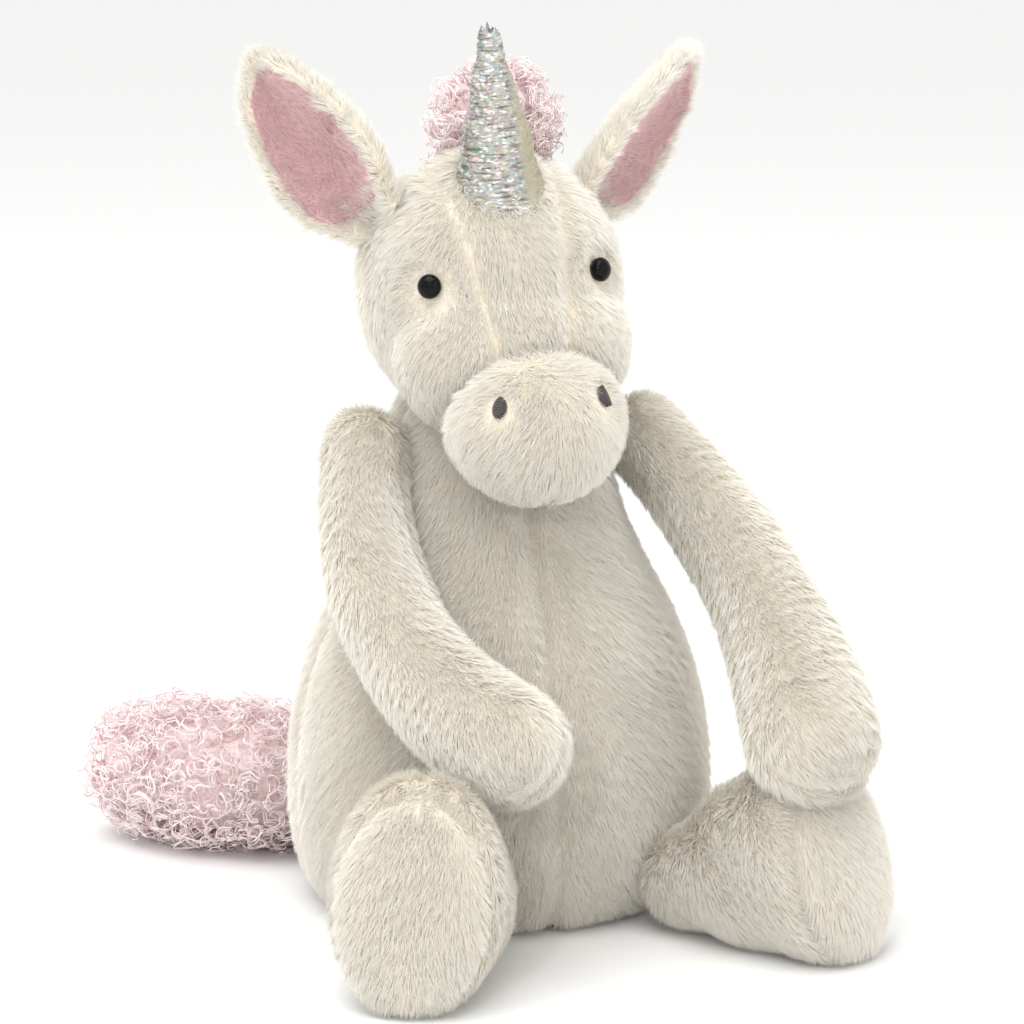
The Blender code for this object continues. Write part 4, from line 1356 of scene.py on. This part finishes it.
def wadding(name, light, dark, tuft):
    """Carded fibre pressed into shape: soft cloudy tufts, darker in their hollows as painted shade."""
    material = material_named(name)
    place = node(material, "ShaderNodeTexCoord")
    tufts = node(
        material,
        "ShaderNodeTexNoise",
        {"Scale": 1 / tuft, "Detail": 6.0},
        {"Vector": place.outputs["Object"]},
    )
    # painted shade: the colour darkens where the bump sinks
    colour = node(
        material,
        "ShaderNodeValToRGB",
        links={"Fac": tufts.outputs[0]},
        stops=[(0.35, dark), (0.65, light)],
    )
    bump = node(
        material,
        "ShaderNodeBump",
        {"Strength": 0.5, "Distance": 0.5 * MM},
        {"Height": tufts.outputs[0]},
    )
    return finish_material(
        material,
        {"Roughness": 1.0, "Sheen Weight": 0.3},
        {"Base Color": colour.outputs[0]},
        bump.outputs[0],
    )


fibre = wadding("Hollow polyester fibre, carded", "#f7f7f5", "#dededa", 3 * MM)
pouch_cloth = wadding("Pouch cloth over pellets, plain weave", "#d8d6d0", "#a9a7a0", 2.5 * MM)
nylon = wadding("Nylon, moulded", "#ecebe6", "#deddd6", 4 * MM)
tape = wadding("Cotton tape, woven", "#f0efe9", "#d9d7cf", 1 * MM)
for name, cad_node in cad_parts.items():
    if cad_node.hide_render:
        continue
    finish = fibre
    if "pouch" in name or name == "pellet_bag":
        finish = pouch_cloth
    elif "washer" in name:
        finish = nylon
    elif name == "tail_tape":
        finish = tape
    elif name == "tail_stub":
        finish = cream_backing
    cad_node.data.materials.clear()
    cad_node.data.materials.append(finish)

# ---- the stage ----
# A wide sheet of white paper, a large soft lamp overhead and slightly to the toy's right, a weak one in
# front, a small one that puts a glint in the eyes, and the camera.


def studio_paper():
    """Matt white paper: an even white with soft shadows."""
    material = material_named("Studio paper, matt white")
    return finish_material(material, {"Base Color": linear("#f7f7f6"), "Roughness": 0.9}, {})


paper = studio_paper()
bm = bmesh.new()
bmesh.ops.create_grid(bm, x_segments=1, y_segments=1, size=14)
floor_mesh = bpy.data.meshes.new("floor")
bm.to_mesh(floor_mesh)
bm.free()
floor_mesh.materials.append(paper)
floor = bpy.data.objects.new("floor", floor_mesh)
scene.collection.objects.link(floor)

world = bpy.data.worlds.new("studio")
scene.world = world
world.use_nodes = True
world.node_tree.nodes["Background"].inputs[0].default_value = (1.0, 1.0, 1.0, 1.0)
world.node_tree.nodes["Background"].inputs[1].default_value = 0.97


def softbox(name, place, target, width, height, power):
    """A lamp behind a rectangle of white cloth, aimed at a point."""
    lamp = bpy.data.lights.new(name, "AREA")
    lamp.shape = "RECTANGLE"
    lamp.size = width
    lamp.size_y = height
    lamp.energy = power
    made = bpy.data.objects.new(name, lamp)
    scene.collection.objects.link(made)
    made.location = place
    made.rotation_euler = (Vector(target) - Vector(place)).to_track_quat("-Z", "Y").to_euler()
    return made


softbox("top softbox", (-0.4, -0.3, 1.5), (0, 0, 0.1), 1.4, 1.4, 16)
softbox("front fill", (0.9, -1.5, 0.7), (0, 0, 0.1), 1.0, 1.0, 2.4)
softbox("eye lamp", (-0.75, -1.2, 0.75), (0, 0, 0.1), 0.07, 0.07, 2.0)

camera_data = bpy.data.cameras.new("camera")
camera = bpy.data.objects.new("camera", camera_data)
scene.collection.objects.link(camera)
scene.camera = camera
TURN, TIP, DISTANCE = math.radians(-18), math.radians(10), 0.9
TARGET = Vector((0, 0, 0.108))
toward = Vector((math.sin(TURN) * math.cos(TIP), -math.cos(TURN) * math.cos(TIP), math.sin(TIP)))
camera.location = TARGET + toward * DISTANCE
camera.rotation_euler = (-toward).to_track_quat("-Z", "Y").to_euler()
camera_data.sensor_width = 36
camera_data.lens = 119.3
camera_data.shift_x = 0.0117
camera_data.shift_y = -0.0146
scene.view_settings.view_transform = "Standard"
